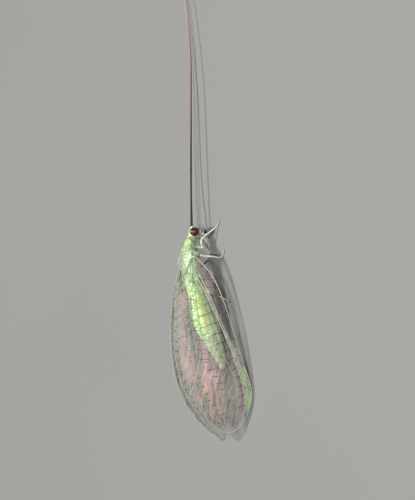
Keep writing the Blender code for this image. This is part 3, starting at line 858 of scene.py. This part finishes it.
# Hairs on each square millimetre of the whole skin, and how many more grow on the down and in front of it
SKIN_HAIRS, DOWN_HAIRS, FRONT_HAIRS = 110, 700, 60
BODY_MAP_TAIL, BODY_MAP_LENGTH = -9.0, 11.5
HAIR_LENGTH = 0.095
HAIR_RADIUS = 0.0075

# Lumps on the middle of the back: station, height, radii and pitch
THORAX_TOP_LUMPS = (
    (0.78, 1.68, (0.36, 0.46, 0.22), -22), (0.38, 1.84, (0.32, 0.5, 0.26), -22),
    (0.02, 2.0, (0.32, 0.4, 0.34), -20), (-1.12, 2.36, (0.32, 0.28, 0.22), 4),
    (-2.42, 2.16, (0.26, 0.26, 0.2), 6),
)
# Trunk of the pronotum, the mesothorax and the metathorax: stations with heights, and radii
THORAX_LIMBS = (
    (((1.08, 1.44), (0.8, 1.55), (0.5, 1.64), (0.15, 1.78)), (0.30, 0.40, 0.44, 0.5)),
    (((0.25, 1.74), (-0.2, 1.93), (-0.9, 1.98), (-1.6, 1.94)), (0.5, 0.6, 0.62, 0.54)),
    (((-1.4, 1.94), (-1.9, 1.91), (-2.7, 1.77), (-3.1, 1.7)), (0.52, 0.57, 0.57, 0.6)),
)
# Lobes of the back, plates of the flank and the knob at the wing's root: place, radii, pitch and roll
THORAX_SIDE_LUMPS = (
    ((-0.52, 0.28, 2.16), (0.55, 0.35, 0.37), -2, -18), ((-1.92, 0.26, 2.12), (0.38, 0.3, 0.31), 0, -18),
    ((-0.3, 0.46, 1.72), (0.3, 0.22, 0.44), 10, 0), ((-0.92, 0.46, 1.74), (0.3, 0.2, 0.42), 10, 0),
    ((-1.75, 0.38, 1.62), (0.24, 0.18, 0.36), 8, 0), ((-2.25, 0.36, 1.6), (0.26, 0.17, 0.34), 8, 0),
    ((-0.2, 0.72, 2.08), (0.14, 0.1, 0.09), 0, 0),
)
# Hips of the three pairs of legs, then the wings' hinges: line and radii
THORAX_SIDE_LIMBS = (
    (((0.5, 0.18, 1.5), (0.38, 0.36, 1.15), (0.3, 0.45, 0.86)), (0.15, 0.12, 0.09)),
    (((-0.25, 0.34, 1.6), (-0.27, 0.4, 1.36), (-0.27, 0.42, 1.13)), (0.2, 0.14, 0.09)),
    (((-2.1, 0.26, 1.5), (-2.25, 0.34, 1.2), (-2.35, 0.36, 0.9)), (0.24, 0.19, 0.12)),
    (((-0.42, 0.45, 2.12), (-0.45, 0.76, 2.06), (-0.5, 1.02, 1.98)), (0.26, 0.16, 0.07)),
    (((-0.42, 1.08, 1.94), (-0.46, 0.94, 2.04), (-0.52, 0.74, 2.15)), (0.05, 0.08, 0.06)),
    (((-0.6, 0.4, 2.2), (-0.62, 0.6, 2.18), (-0.68, 0.74, 2.15)), (0.2, 0.12, 0.05)),
    (((-1.95, 0.4, 1.93), (-2.02, 0.6, 1.88), (-2.12, 0.82, 1.84)), (0.2, 0.12, 0.06)),
)

# Joints of the left legs: hip, knee, ankle, sole and toe
LEG_JOINTS = {
    "front": (
        (0.3, 0.45, 0.85), (0.88, 0.8, 1.02), (1.42, 1.5, 0.26), (1.62, 1.76, 0.08), (1.84, 1.96, 0.05),
    ),
    "mid": (
        (-0.27, 0.42, 1.13), (-0.56, 1.25, 0.57), (-0.74, 1.6, 0.2), (-0.63, 1.82, 0.07), (-0.33, 2.0, 0.05),
    ),
    "hind": (
        (-2.35, 0.35, 0.9), (-3.05, 0.84, 1.1), (-3.62, 1.15, 0.22), (-3.82, 1.4, 0.08), (-3.98, 1.62, 0.05),
    ),
}
LEG_BOW = np.array([0, 0, 0.05])
# Where along the foot its short joints meet
FOOT_JOINTS = (0.0, 0.34, 0.5, 0.64, 0.78, 1.0)


def in_head(forward, left, up):
    """Place given from the middle of the head, in the head's own rolled directions."""
    return HEAD_CENTRE + turned_with_head((forward, left, up))


def turned_with_head(way):
    forward, left, up = way
    return np.array([
        forward, left * math.cos(HEAD_ROLL) + up * math.sin(HEAD_ROLL),
        up * math.cos(HEAD_ROLL) - left * math.sin(HEAD_ROLL),
    ])


class Clay:
    """Closed lumps and limbs that are fused into one skin."""

    def __init__(self):
        self.mesh = bmesh.new()

    def lump(self, middle, radii, pitch=0.0, roll=0.0, head=False):
        """Ball with its own radii, pitched nose up and rolled, in degrees."""
        made = bmesh.ops.create_uvsphere(self.mesh, u_segments=32, v_segments=20, radius=1.0)["verts"]
        c, s = math.cos(math.radians(pitch)), math.sin(math.radians(pitch))
        cr, sr = math.cos(math.radians(roll)), math.sin(math.radians(roll))
        for vertex in made:
            x, y, z = (vertex.co[axis] * radii[axis] for axis in range(3))
            x, z = x * c - z * s, x * s + z * c
            y, z = y * cr - z * sr, y * sr + z * cr
            place = (middle[0] + x, middle[1] + y, middle[2] + z)
            vertex.co = in_head(*place) if head else place

    def limb(self, points, radii, sides=24, step=0.08):
        fine = stretch(points, step)
        radii = np.interp(np.linspace(0, 1, len(fine)), np.linspace(0, 1, len(radii)), radii)
        corners = [self.mesh.verts.new(point) for point in rings(fine, radii, sides)]
        for face in tube_faces(len(fine), sides):
            self.mesh.faces.new([corners[i] for i in face])

    def fused(self, voxel, smoothing):
        mesh = bpy.data.meshes.new("clay")
        self.mesh.to_mesh(mesh)
        self.mesh.free()
        obj = bpy.data.objects.new("clay", mesh)
        bpy.context.scene.collection.objects.link(obj)
        remesh = obj.modifiers.new("fuse", "REMESH")
        remesh.mode = "VOXEL"
        remesh.voxel_size = voxel
        smooth = obj.modifiers.new("smooth", "SMOOTH")
        smooth.factor = 0.5
        smooth.iterations = smoothing
        graph = bpy.context.evaluated_depsgraph_get()
        made = bpy.data.meshes.new_from_object(obj.evaluated_get(graph))
        bpy.data.objects.remove(obj)
        return made


def shape_head(clay):
    for middle, radii in (
        ((0.0, 0, 0.05), (0.36, 0.46, 0.36)), ((0.02, 0, -0.14), (0.30, 0.34, 0.36)),
        ((0.12, 0, -0.32), (0.20, 0.22, 0.20)), ((-0.16, 0, 0.16), (0.24, 0.36, 0.26)),
        ((0.12, 0, 0.24), (0.18, 0.16, 0.14)), ((-0.22, 0, -0.02), (0.24, 0.34, 0.34)),
    ):
        clay.lump(middle, radii, head=True)
    for side in (1, -1):
        clay.lump((-0.02, side * 0.42, EYE_UP), (0.31, 0.12, 0.33), head=True)
        clay.lump((0.3, side * 0.2, 0.12), (0.08, 0.11, 0.11), head=True)
        clay.lump((0.02, side * 0.26, -0.3), (0.18, 0.14, 0.2), head=True)
    clay.limb([in_head(-0.1, 0, 0.04), (1.22, 0, 1.26), (0.95, 0, 1.44)], (0.34, 0.34, 0.36))


def shape_thorax(clay):
    for x, z, radii, pitch in THORAX_TOP_LUMPS:
        clay.lump((x, 0, z), radii, pitch)
    for line, radii in THORAX_LIMBS:
        clay.limb([(x, 0, z) for x, z in line], radii)
    for side in (1, -1):
        for place, radii, pitch, roll in THORAX_SIDE_LUMPS:
            clay.lump(mirrored(place, side), radii, pitch, side * roll)
        for line, radii in THORAX_SIDE_LIMBS:
            clay.limb(mirrored(line, side), radii, 16)


def shape_abdomen(clay):
    line = BODY_LINE[BODY_LINE[:, 0] < ABDOMEN_FROM]
    clay.limb([(x, 0, z) for x, z, _ in line], [radius for _, _, radius in line], 40, 0.05)
    for side in (1, -1):
        clay.lump((-8.5, side * 0.1, 0.56), (0.16, 0.1, 0.14), pitch=-20)
    clay.lump((-8.42, 0, 0.36), (0.18, 0.16, 0.1), pitch=-8)


def round_body(points):
    """For each point: angle over the level line, and height of the middle line there."""
    station, height, _ = BODY_LINE[::-1].T
    middle = np.interp(points[:, 0], station, height)
    return np.degrees(np.arctan2(points[:, 2] - middle, np.abs(points[:, 1]))), middle


def carve(points, normals):
    """Cuts the folds between the abdomen's plates, the crease along its flank and the seams of the thorax."""
    x, y, z = points.T
    angle, _ = round_body(points)
    depth = np.zeros(len(points))
    on_abdomen = smoothstep((-2.75 - x) / 0.2)
    for edge in SEGMENT_EDGES:
        behind = edge - x
        depth += FOLD_DEPTH * bell(behind, 0, np.where(behind > 0, 0.11, 0.03)) * on_abdomen
    depth += 0.03 * bell(angle, -4, 7) * on_abdomen * smoothstep((x + 8.3) / 0.6)
    top = smoothstep((angle - 35) / 20)
    depth += 0.03 * bell(y, 0, 0.035) * top * ((x < -0.05) & (x > -0.9))
    depth += 0.022 * bell(x, 0.62, 0.045) * top
    depth += 0.04 * bell(x, 0.2, 0.06) * smoothstep((angle + 60) / 40)
    depth += 0.03 * bell(x, -1.55, 0.05)
    depth += 0.03 * bell(x, -0.88 + 0.18 * np.abs(y), 0.03) * top
    flank = (z < 2.1) & (x < 0.1) & (x > -2.6)
    for seam in (-0.62, -2.02):
        depth += 0.04 * bell(x - 0.18 * (z - 1.7), seam, 0.03) * flank
    return points - normals * depth[:, None]


def near(points, place, across):
    """How near the points are to a place, from 0 to 1, on a bell this wide."""
    return bell(distances(points, place), 0, across)


def eye_middle(side):
    return in_head(0, side * EYE_OUT, EYE_UP)


def body_colours(points):
    """Colour of the skin, which the hairs take too."""
    x, y, _ = points.T
    angle, _ = round_body(points)
    back = blend_colour(LIME, DEEP_LIME, bell(angle, 70, 30) * 0.35)
    edge_of_lime = 8 + 22 * smoothstep((x + 5.6) / 1.6)
    yellow = bell(angle, 28, 16) * smoothstep((-2.9 - x) / 0.8) * smoothstep((x + 5.9) / 0.9)
    rear = blend_colour(PALE_BLUE_GREEN, MINT, (angle + 30) / 120)
    tint = paint(
        blend_colour(PALE_BLUE_GREEN, back, smoothstep((angle + edge_of_lime) / 24)),
        (YELLOW, 0.8 * yellow), (rear, 0.75 * smoothstep((-5.3 - x) / 1.6)),
        *((FOLD_GREEN, bell(x, edge - 0.03, 0.035) * 0.4 * (x < -2.9)) for edge in SEGMENT_EDGES),
    )
    thorax = smoothstep((x + 2.0) / 0.6) * smoothstep((0.3 - x) / 0.2)
    # Painted light and shade on the thorax's down: MINT is painted lighter on the flank and darker on top,
    # against how the lamps fall
    downy = blend_colour(np.multiply(MINT, 1.65), np.multiply(MINT, 0.6), smoothstep((angle - 22) / 50))
    pronotum = blend_colour(PRONOTUM_FLANK, PRONOTUM_TOP, smoothstep((angle + 5) / 45))
    head = smoothstep((x - 1.18) / 0.12)
    below_face = smoothstep((-0.12 - (points - HEAD_CENTRE) @ turned_with_head((0, 0, 1))) / 0.3)
    tint = paint(
        tint, (downy, thorax * 0.85), (WAIST_GREEN, bell(x, -2.3, 0.6) * smoothstep((angle + 10) / 40) * 0.9),
        (pronotum, smoothstep((x - 0.08) / 0.15)), (HEAD_GREEN, head * 0.8), (FACE, head * below_face * 0.8),
    )
    for side in (1, -1):
        rim = smoothstep((0.47 - distances(points, eye_middle(side))) / 0.07) * head
        spot, socket = in_head(-0.42, side * 0.45, 0.43), in_head(0.33, side * 0.2, 0.12)
        tint = paint(
            tint, (EYE_RIM, rim), (RUST, near(points, spot, 0.12) * 0.8), (BROWN, near(points, spot, 0.07)),
            (SOCKET, near(points, socket, 0.16) * 0.9),
        )
        for joints in LEG_JOINTS.values():
            from_hip = distances(points, mirrored(joints[0], side))
            tint = blend_colour(tint, CREAM, smoothstep((0.5 - from_hip) / 0.3) * 0.8)
    for place, across in CALLUSES:
        for side in (1, -1):
            far = distances(points, mirrored(place, side))
            tint = paint(tint, (CALLUS_RING, bell(far, across, across * 0.35) * 0.8),
                         (CALLUS_GREEN, bell(far, 0, across * 0.5) * 0.6))
    wing_roots = smoothstep((np.abs(y) - 0.7) / 0.2) * (x < 0.2) * (x > -2.6)
    return blend_colour(tint, WING_ROOT, wing_roots * 0.85)


def make_skin():
    clay = Clay()
    shape_head(clay)
    shape_thorax(clay)
    shape_abdomen(clay)
    mesh = clay.fused(VOXEL, 3)
    points = mesh_values(mesh.vertices, "co", 3).astype(float)
    points = carve(points, mesh_values(mesh.vertices, "normal", 3))
    mesh.vertices.foreach_set("co", ((points + ORIGIN) / METRE).astype(np.float32).ravel())
    mesh.name = "skin"
    tint_mesh(mesh, body_colours(points))
    mesh.shade_smooth()
    mesh.update()
    skin = finished("skin", mesh, skin_material())
    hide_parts("head", "prothorax", "mesothorax", "metathorax", "abdomen")
    return mesh


def make_coat(mesh, random):
    """Down on the thorax, and thinner hair on the rest of the body, all leaning backwards."""
    mesh.calc_loop_triangles()
    points = mesh_values(mesh.vertices, "co", 3).astype(float) * METRE - ORIGIN
    corners = points[mesh_values(mesh.loop_triangles, "vertices", 3, np.int32)]
    square = np.cross(corners[:, 1] - corners[:, 0], corners[:, 2] - corners[:, 0])
    area = np.linalg.norm(square, axis=1) / 2
    roots = corners.mean(axis=1)
    x = roots[:, 0]
    downy = smoothstep((0.35 - x) / 0.3) * smoothstep((x + 2.2) / 0.4)
    density = SKIN_HAIRS + DOWN_HAIRS * downy + FRONT_HAIRS * smoothstep((x - 0.2) / 0.2)
    picked = random.uniform(0, 1, len(area)) < density * area
    for side in (1, -1):
        picked &= distances(roots, eye_middle(side)) > EYE_RADIUS + 0.06
    picked &= ~((np.abs(roots[:, 1]) > 0.95) & (x < 0.1))
    normals = square[picked] / (2 * area[picked])[:, None]
    roots, downy = roots[picked], downy[picked]
    ways = normals * 0.75 + np.array([-0.65, 0.0, 0.0]) + random.normal(0, 0.22, normals.shape)
    lengths = (HAIR_LENGTH + 0.02 * downy) * random.uniform(0.6, 1.25, len(roots))
    angle, middle_height = round_body(roots)
    # Painted light and shade on the down's hairs: lighter on the flank, darker on top, against how the lamps
    # fall
    shade = 1.0 + downy * (0.15 - 0.5 * smoothstep((angle - 22) / 50))
    tints = blend_colour(body_colours(roots), WHITE_HAIR, 0.4 + 0.3 * downy)
    tints = tints * (shade * random.uniform(0.8, 1.25, len(roots)))[:, None]
    turn = np.arctan2(roots[:, 1], roots[:, 2] - middle_height) / (2 * math.pi) + 0.5
    places = np.stack([(roots[:, 0] - BODY_MAP_TAIL) / BODY_MAP_LENGTH, 0.02 + 0.95 * turn], axis=1)
    form = Form()
    add_hairs(form, roots, ways, lengths, HAIR_RADIUS, tints, places, droop=0.25)
    coat = form.piece("down", plain_material("down", 0.6, 3000, Sheen_Weight=0.3))


# Head parts

# Feelers of the mouth on the left: root, direction, lengths of the joints, radius and strip on the map
PALPS = (
    ((-0.04, 0.17, -0.42), (-0.65, 0.2, -0.55), (0.07, 0.08, 0.11, 0.12, 0.14), 0.034, 0.5),
    ((-0.12, 0.08, -0.46), (-0.6, 0.1, -0.7), (0.07, 0.1, 0.13), 0.03, 0.35),
)
ANTENNA_JOINTS = 88
SCAPE_END, PEDICEL_END = 7, 10
# Line between the two antennae, and how far each of them lies out and down from it
FEELER_LINE = (
    ((5.5, -0.6, 0.98), 0.4, 0.23), ((11.0, -1.95, 0.74), 0.42, 0.24), ((14.0, -2.48, 0.52), 0.42, 0.24),
    ((16.6, -2.7, 0.43), 0.42, 0.22), ((19.3, -2.8, 0.4), 0.35, 0.2),
)


def make_eyes():
    """Domes of close set round facets, on the facet centres of a geodesic ball."""
    material = eye_material()
    coarse, fine = bmesh.new(), bmesh.new()
    bmesh.ops.create_icosphere(coarse, subdivisions=5, radius=1.0)
    bmesh.ops.create_icosphere(fine, subdivisions=7, radius=1.0)
    centres = kdtree.KDTree(len(coarse.verts))
    for i, vertex in enumerate(coarse.verts):
        centres.insert(vertex.co, i)
    centres.balance()
    spacing = 0.5 * math.sqrt(4 * math.pi / len(coarse.verts))
    buried = [vertex for vertex in fine.verts if vertex.co.y < EYE_BURIED_BELOW]
    bmesh.ops.delete(fine, geom=buried, context="VERTS")
    for vertex in fine.verts:
        away = centres.find(vertex.co)[2] / spacing
        vertex.co *= 1.0 - FACET_DEPTH * min(away, 1.2) ** 2
    bmesh.ops.holes_fill(fine, edges=[edge for edge in fine.edges if edge.is_boundary])
    fine.verts.index_update()
    base = np.array([vertex.co[:] for vertex in fine.verts])
    faces = [tuple(vertex.index for vertex in face.verts) for face in fine.faces]
    coarse.free()
    fine.free()
    # Painted shade: the eye grows blacker towards its rim
    rim = smoothstep((0.75 - base[:, 1]) / 0.7)
    tints = blend_colour((0.055, 0.006, 0.008), (0.006, 0.002, 0.002), rim)
    places = 0.5 + base[:, [0, 2]] * 0.45
    for side_name, side in SIDES:
        shaped = base * (EYE_RADIUS, EYE_RADIUS * side, EYE_RADIUS * 1.02)
        shaped += (0, side * (EYE_OUT - 0.02), EYE_UP)
        form = Form()
        points = np.array([in_head(*place) for place in shaped])
        form.add(points, [face[::side] for face in faces], tints, places)
        eye = form.piece("eye_" + side_name, material)
        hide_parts("eye_" + side_name)


def head_line(*places):
    """Close points on the curve through places that are given from the middle of the head."""
    return stretch([in_head(*place) for place in places], 0.03)


def bulge(line, radius, start, end, power):
    """Radii along a short joint that is thickest in its middle."""
    return radius * np.sin(np.linspace(start, math.pi - end, len(line))) ** power


def add_palp(form, root, way, side, lengths, radius, strip):
    """Feeler of the mouth: joints in a row, each bent a little from the one before, the last one pointed."""
    place, way = in_head(*root), turned_with_head(way)
    for i, length in enumerate(lengths):
        way = unit(way)
        end = place + way * length
        line = stretch([place, end], length / 6)
        swell = radius * (0.72 + 0.35 * np.sin(np.linspace(0.25, math.pi - 0.35, len(line))))
        if i == len(lengths) - 1:
            swell = swell * np.linspace(1.0, 0.3, len(line)) ** 0.6
        add_tube(form, line, swell, 12, blend_colour(MOUTH_PALE, MOUTH_TAN, i / len(lengths)), strip)
        place = end
        way = way + turned_with_head((0.22, -side * 0.1, -0.05))


def make_mouthparts():
    form = Form()
    lip = head_line((0.14, 0, -0.42), (0.17, 0, -0.53), (0.14, 0, -0.63))
    girth = np.interp(np.linspace(0, 1, len(lip)), (0, 0.5, 1), (0.15, 0.13, 0.06))
    add_tube(form, lip, girth, 16, MOUTH_PALE, 0.1)
    for side in (1, -1):
        jaw = head_line((0.08, side * 0.19, -0.38), (0.11, side * 0.16, -0.55), (0.14, side * 0.04, -0.66))
        tint = blend_colour(MOUTH_PALE, BROWN, np.linspace(0, 1, len(jaw)))
        add_tube(form, jaw, np.linspace(0.09, 0.02, len(jaw)), 12, tint, 0.2)
        for root, way, lengths, radius, strip in PALPS:
            add_palp(form, mirrored(root, side), mirrored(way, side), side, lengths, radius, strip)
    tongue = head_line((-0.07, 0, -0.4), (-0.05, 0, -0.55), (-0.02, 0, -0.66))
    add_tube(form, tongue, np.linspace(0.14, 0.07, len(tongue)), 14, MOUTH_PALE, 0.7)
    mouth = form.piece("mouthparts_fine", plain_material("mouthparts", 0.4, 5000))
    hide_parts("mouthparts")


def make_antennae(random):
    """Pale basal joint, then a long dark flagellum of short joints that grow paler and thinner."""
    material = plain_material("antenna", 0.6, 6000, Specular_IOR_Level=0.2)
    for side_name, side in SIDES:
        form = Form()
        socket = in_head(0.3, side * 0.2, 0.13)
        line = [in_head(0.54, 0, 0.12) + (0.0, side * 0.24, -side * 0.1)]
        line += [np.add(place, (0, side * out, -side * down)) for place, out, down in FEELER_LINE]
        whole = stretch([socket, *spline(line, np.linspace(0, 1, 60))], 0.02, smooth=False)
        scape, pedicel = whole[:SCAPE_END + 1], whole[SCAPE_END:PEDICEL_END + 1]
        add_tube(form, scape, bulge(scape, 0.105, 0.9, 0.8, 0.5), 14, (0.64, 0.68, 0.54), 0.1)
        tint = blend_colour((0.58, 0.60, 0.44), BROWN, np.linspace(0.2, 1, len(pedicel)))
        add_tube(form, pedicel, bulge(pedicel, 0.082, 0.7, 0.9, 0.5), 14, tint, 0.2)
        rest = stretch(whole[PEDICEL_END:], 0.01, smooth=False)
        share = np.linspace(0, 1, ANTENNA_JOINTS * 4 + 1)
        points = np.stack([np.interp(share, np.linspace(0, 1, len(rest)), axis) for axis in rest.T], axis=1)
        waist = np.tile([0.9, 1.0, 1.04, 1.0], ANTENNA_JOINTS + 1)[:len(points)]
        radii = (0.066 - 0.032 * share ** 0.8) * waist
        tint = paint(
            blend_colour((0.009, 0.007, 0.006), (0.06, 0.025, 0.018), smoothstep((share - 0.08) / 0.3)),
            ((0.16, 0.08, 0.055), smoothstep((share - 0.3) / 0.4)),
            ((0.34, 0.26, 0.19), smoothstep((share - 0.62) / 0.38)),
        )
        add_tube(form, points, radii, 9, tint, 0.4)
        at = np.repeat(np.arange(2, len(points) - 2, 4), 5)
        add_side_hairs(form, points, radii, at, (0.8, 0.7), 0.075, 0.0045, tint[at], 0.4, random)
        antenna = form.piece("feeler_" + side_name, material)
        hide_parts("antenna_" + side_name)


# Legs

def make_legs(random):
    material = plain_material("leg", 0.42, 4000, Subsurface_Weight=0.15, Subsurface_Radius=(1.0, 0.9, 0.6),
                              Subsurface_Scale=0.0002)
    for pair, joints in LEG_JOINTS.items():
        for side_name, side in SIDES:
            name = f"leg_{pair}_{side_name}"
            leg = leg_form(mirrored(joints, side), random).piece(name + "_fine", material)
            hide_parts(name)


def leg_form(joints, random):
    """Leg from the hip to its claws, with bristles."""
    form = Form()
    hip, knee, ankle, sole, toe = joints
    way = unit(knee - hip)
    trochanter = stretch([hip - way * 0.04 + (0, 0, 0.04), hip + way * 0.16], 0.02)
    add_tube(form, trochanter, bulge(trochanter, 0.115, 0.8, 0.7, 0.4), 14, LEG_GREEN, 0.1)

    femur = stretch([hip + way * 0.1, (hip + knee) / 2 + LEG_BOW, knee], 0.02)
    t = np.linspace(0, 1, len(femur))
    femur_girth = 0.062 + 0.026 * np.sin(t * math.pi) ** 0.7 - 0.014 * t
    add_tube(form, femur, femur_girth, 14, blend_colour(LEG_GREEN, CREAM, t), 0.3)

    tibia = stretch([knee, (knee + ankle) / 2 + LEG_BOW * 0.7, ankle], 0.02)
    t = np.linspace(0, 1, len(tibia))
    tibia_girth = 0.044 + 0.018 * bell(t, 0, 0.12) + 0.012 * smoothstep((t - 0.8) / 0.2)
    add_tube(form, tibia, tibia_girth, 12, blend_colour(CREAM, (0.60, 0.55, 0.43), t ** 2), 0.5)

    foot = stretch([ankle, sole, toe], 0.01)
    t = np.linspace(0, 1, len(foot))
    foot_girth = np.zeros(len(foot))
    for start, end in zip(FOOT_JOINTS, FOOT_JOINTS[1:]):
        inside = (t >= start) & (t <= end)
        foot_girth[inside] = 0.028 + 0.014 * ((t[inside] - start) / (end - start)) ** 1.5
    foot[:, 2] = np.maximum(foot[:, 2], foot_girth + 0.002)
    add_tube(form, foot, foot_girth, 10, blend_colour((0.54, 0.49, 0.38), FOOT_TAN, t), 0.7)

    tip, onwards = foot[-1], unit(toe - sole)
    aside = np.cross(onwards, (0, 0, 1.0))
    for way_out in (-1, 1):
        bend = tip + onwards * 0.06 + aside * way_out * 0.035 + (0, 0, 0.012)
        point = tip + onwards * 0.1 + aside * way_out * 0.06 + (0, 0, -0.03)
        claw = stretch([tip, bend, point], 0.012)
        add_tube(form, claw, np.linspace(0.018, 0.004, len(claw)), 8, BROWN, 0.85)
    pad = stretch([tip, tip + onwards * 0.06 - (0, 0, 0.01)], 0.01)
    add_tube(form, pad, np.linspace(0.03, 0.02, len(pad)), 10, (0.6, 0.5, 0.36), 0.9)

    for line, girth, count, length, tint, strip in (
        (femur, femur_girth, 60, 0.09, CREAM, 0.3), (tibia, tibia_girth, 110, 0.1, CREAM, 0.5),
        (foot, foot_girth, 70, 0.06, FOOT_TAN, 0.7),
    ):
        at = np.sort(random.integers(1, len(line) - 1, count))
        darker = blend_colour(tint, BROWN, 0.25)
        add_side_hairs(form, line, girth, at, (0.75, 0.6), length, BRISTLE_RADIUS, darker, strip, random)
    return form


# Floor, lights and camera

CAMERA_RISE = math.radians(30)
CAMERA_SWING = math.radians(-10)
CAMERA_ROLL = math.radians(9)
CAMERA_DISTANCE = 152.0
PIXELS_PER_MM = 13.66
IMAGE_WIDTH, IMAGE_HEIGHT = 415, 500
THORAX_PIXEL = (210.3, 252.0)
SENSOR = 36.0
LAMP_SIZE = 64.0
LAMP_COLOUR = (1.0, 0.99, 0.97)
FLOOR_SIZE = 1200.0
FLOOR_DARK, FLOOR_LIGHT = (0.140, 0.140, 0.137), (0.147, 0.147, 0.144)


def make_floor():
    bpy.ops.mesh.primitive_plane_add(size=FLOOR_SIZE / METRE, location=(0, 0, CAD_LOW.z))
    floor = bpy.context.object
    floor.name = "floor"
    n = Nodes("floor", Roughness=0.85)
    n.shade(Base_Color=n.ramp(n.grain(25, 2), (0.3, FLOOR_DARK), (0.7, FLOOR_LIGHT)))
    floor.data.materials.append(n.material)


def add_light(name, place, watts):
    """Square lamp that faces the thorax; its place is in millimetres."""
    lamp = bpy.data.lights.new(name, "AREA")
    lamp.size = LAMP_SIZE / METRE
    lamp.energy = watts
    lamp.color = LAMP_COLOUR
    obj = bpy.data.objects.new(name, lamp)
    obj.location = (Vector(place) + Vector(ORIGIN)) / METRE
    obj.rotation_euler = (-Vector(place)).to_track_quat("-Z", "Y").to_euler()
    bpy.context.scene.collection.objects.link(obj)


def make_lights():
    add_light("key", (38, 105, 350), 1.9)
    add_light("front", (-50, -232, 287), 1.7)
    world = bpy.data.worlds.new("studio")
    world.use_nodes = True
    inputs = world.node_tree.nodes["Background"].inputs
    inputs["Color"].default_value = (0.9, 0.95, 1.0, 1.0)
    inputs["Strength"].default_value = 0.12
    bpy.context.scene.world = world
    bpy.context.scene.view_settings.view_transform = "Standard"


def make_camera():
    back = Vector((
        math.sin(CAMERA_SWING) * math.cos(CAMERA_RISE), -math.cos(CAMERA_SWING) * math.cos(CAMERA_RISE),
        math.sin(CAMERA_RISE),
    ))
    forwards = Vector((1, 0, 0))
    upright = (forwards - back * forwards.dot(back)).normalized()
    aside = upright.cross(back)
    right = aside * math.cos(CAMERA_ROLL) - upright * math.sin(CAMERA_ROLL)
    up = aside * math.sin(CAMERA_ROLL) + upright * math.cos(CAMERA_ROLL)
    shift = (
        right * (IMAGE_WIDTH / 2 - THORAX_PIXEL[0]) + up * (THORAX_PIXEL[1] - IMAGE_HEIGHT / 2)
    ) / PIXELS_PER_MM
    data = bpy.data.cameras.new("camera")
    data.sensor_width = SENSOR
    data.lens = CAMERA_DISTANCE * SENSOR * PIXELS_PER_MM / IMAGE_HEIGHT
    data.clip_start = 0.01
    data.clip_end = 5.0
    camera = bpy.data.objects.new("camera", data)
    camera.location = (Vector(ORIGIN) + shift + back * CAMERA_DISTANCE) / METRE
    matrix = camera.matrix_world.to_3x3()
    for axis, way in enumerate((right, up, back)):
        matrix.col[axis] = way
    camera.rotation_euler = matrix.to_euler()
    bpy.context.scene.collection.objects.link(camera)
    bpy.context.scene.camera = camera


def main():
    random = np.random.default_rng(SEED)
    skin = make_skin()
    make_coat(skin, random)
    make_eyes()
    make_mouthparts()
    make_antennae(random)
    make_legs(random)
    make_wings(random)
    make_floor()
    make_lights()
    make_camera()


main()
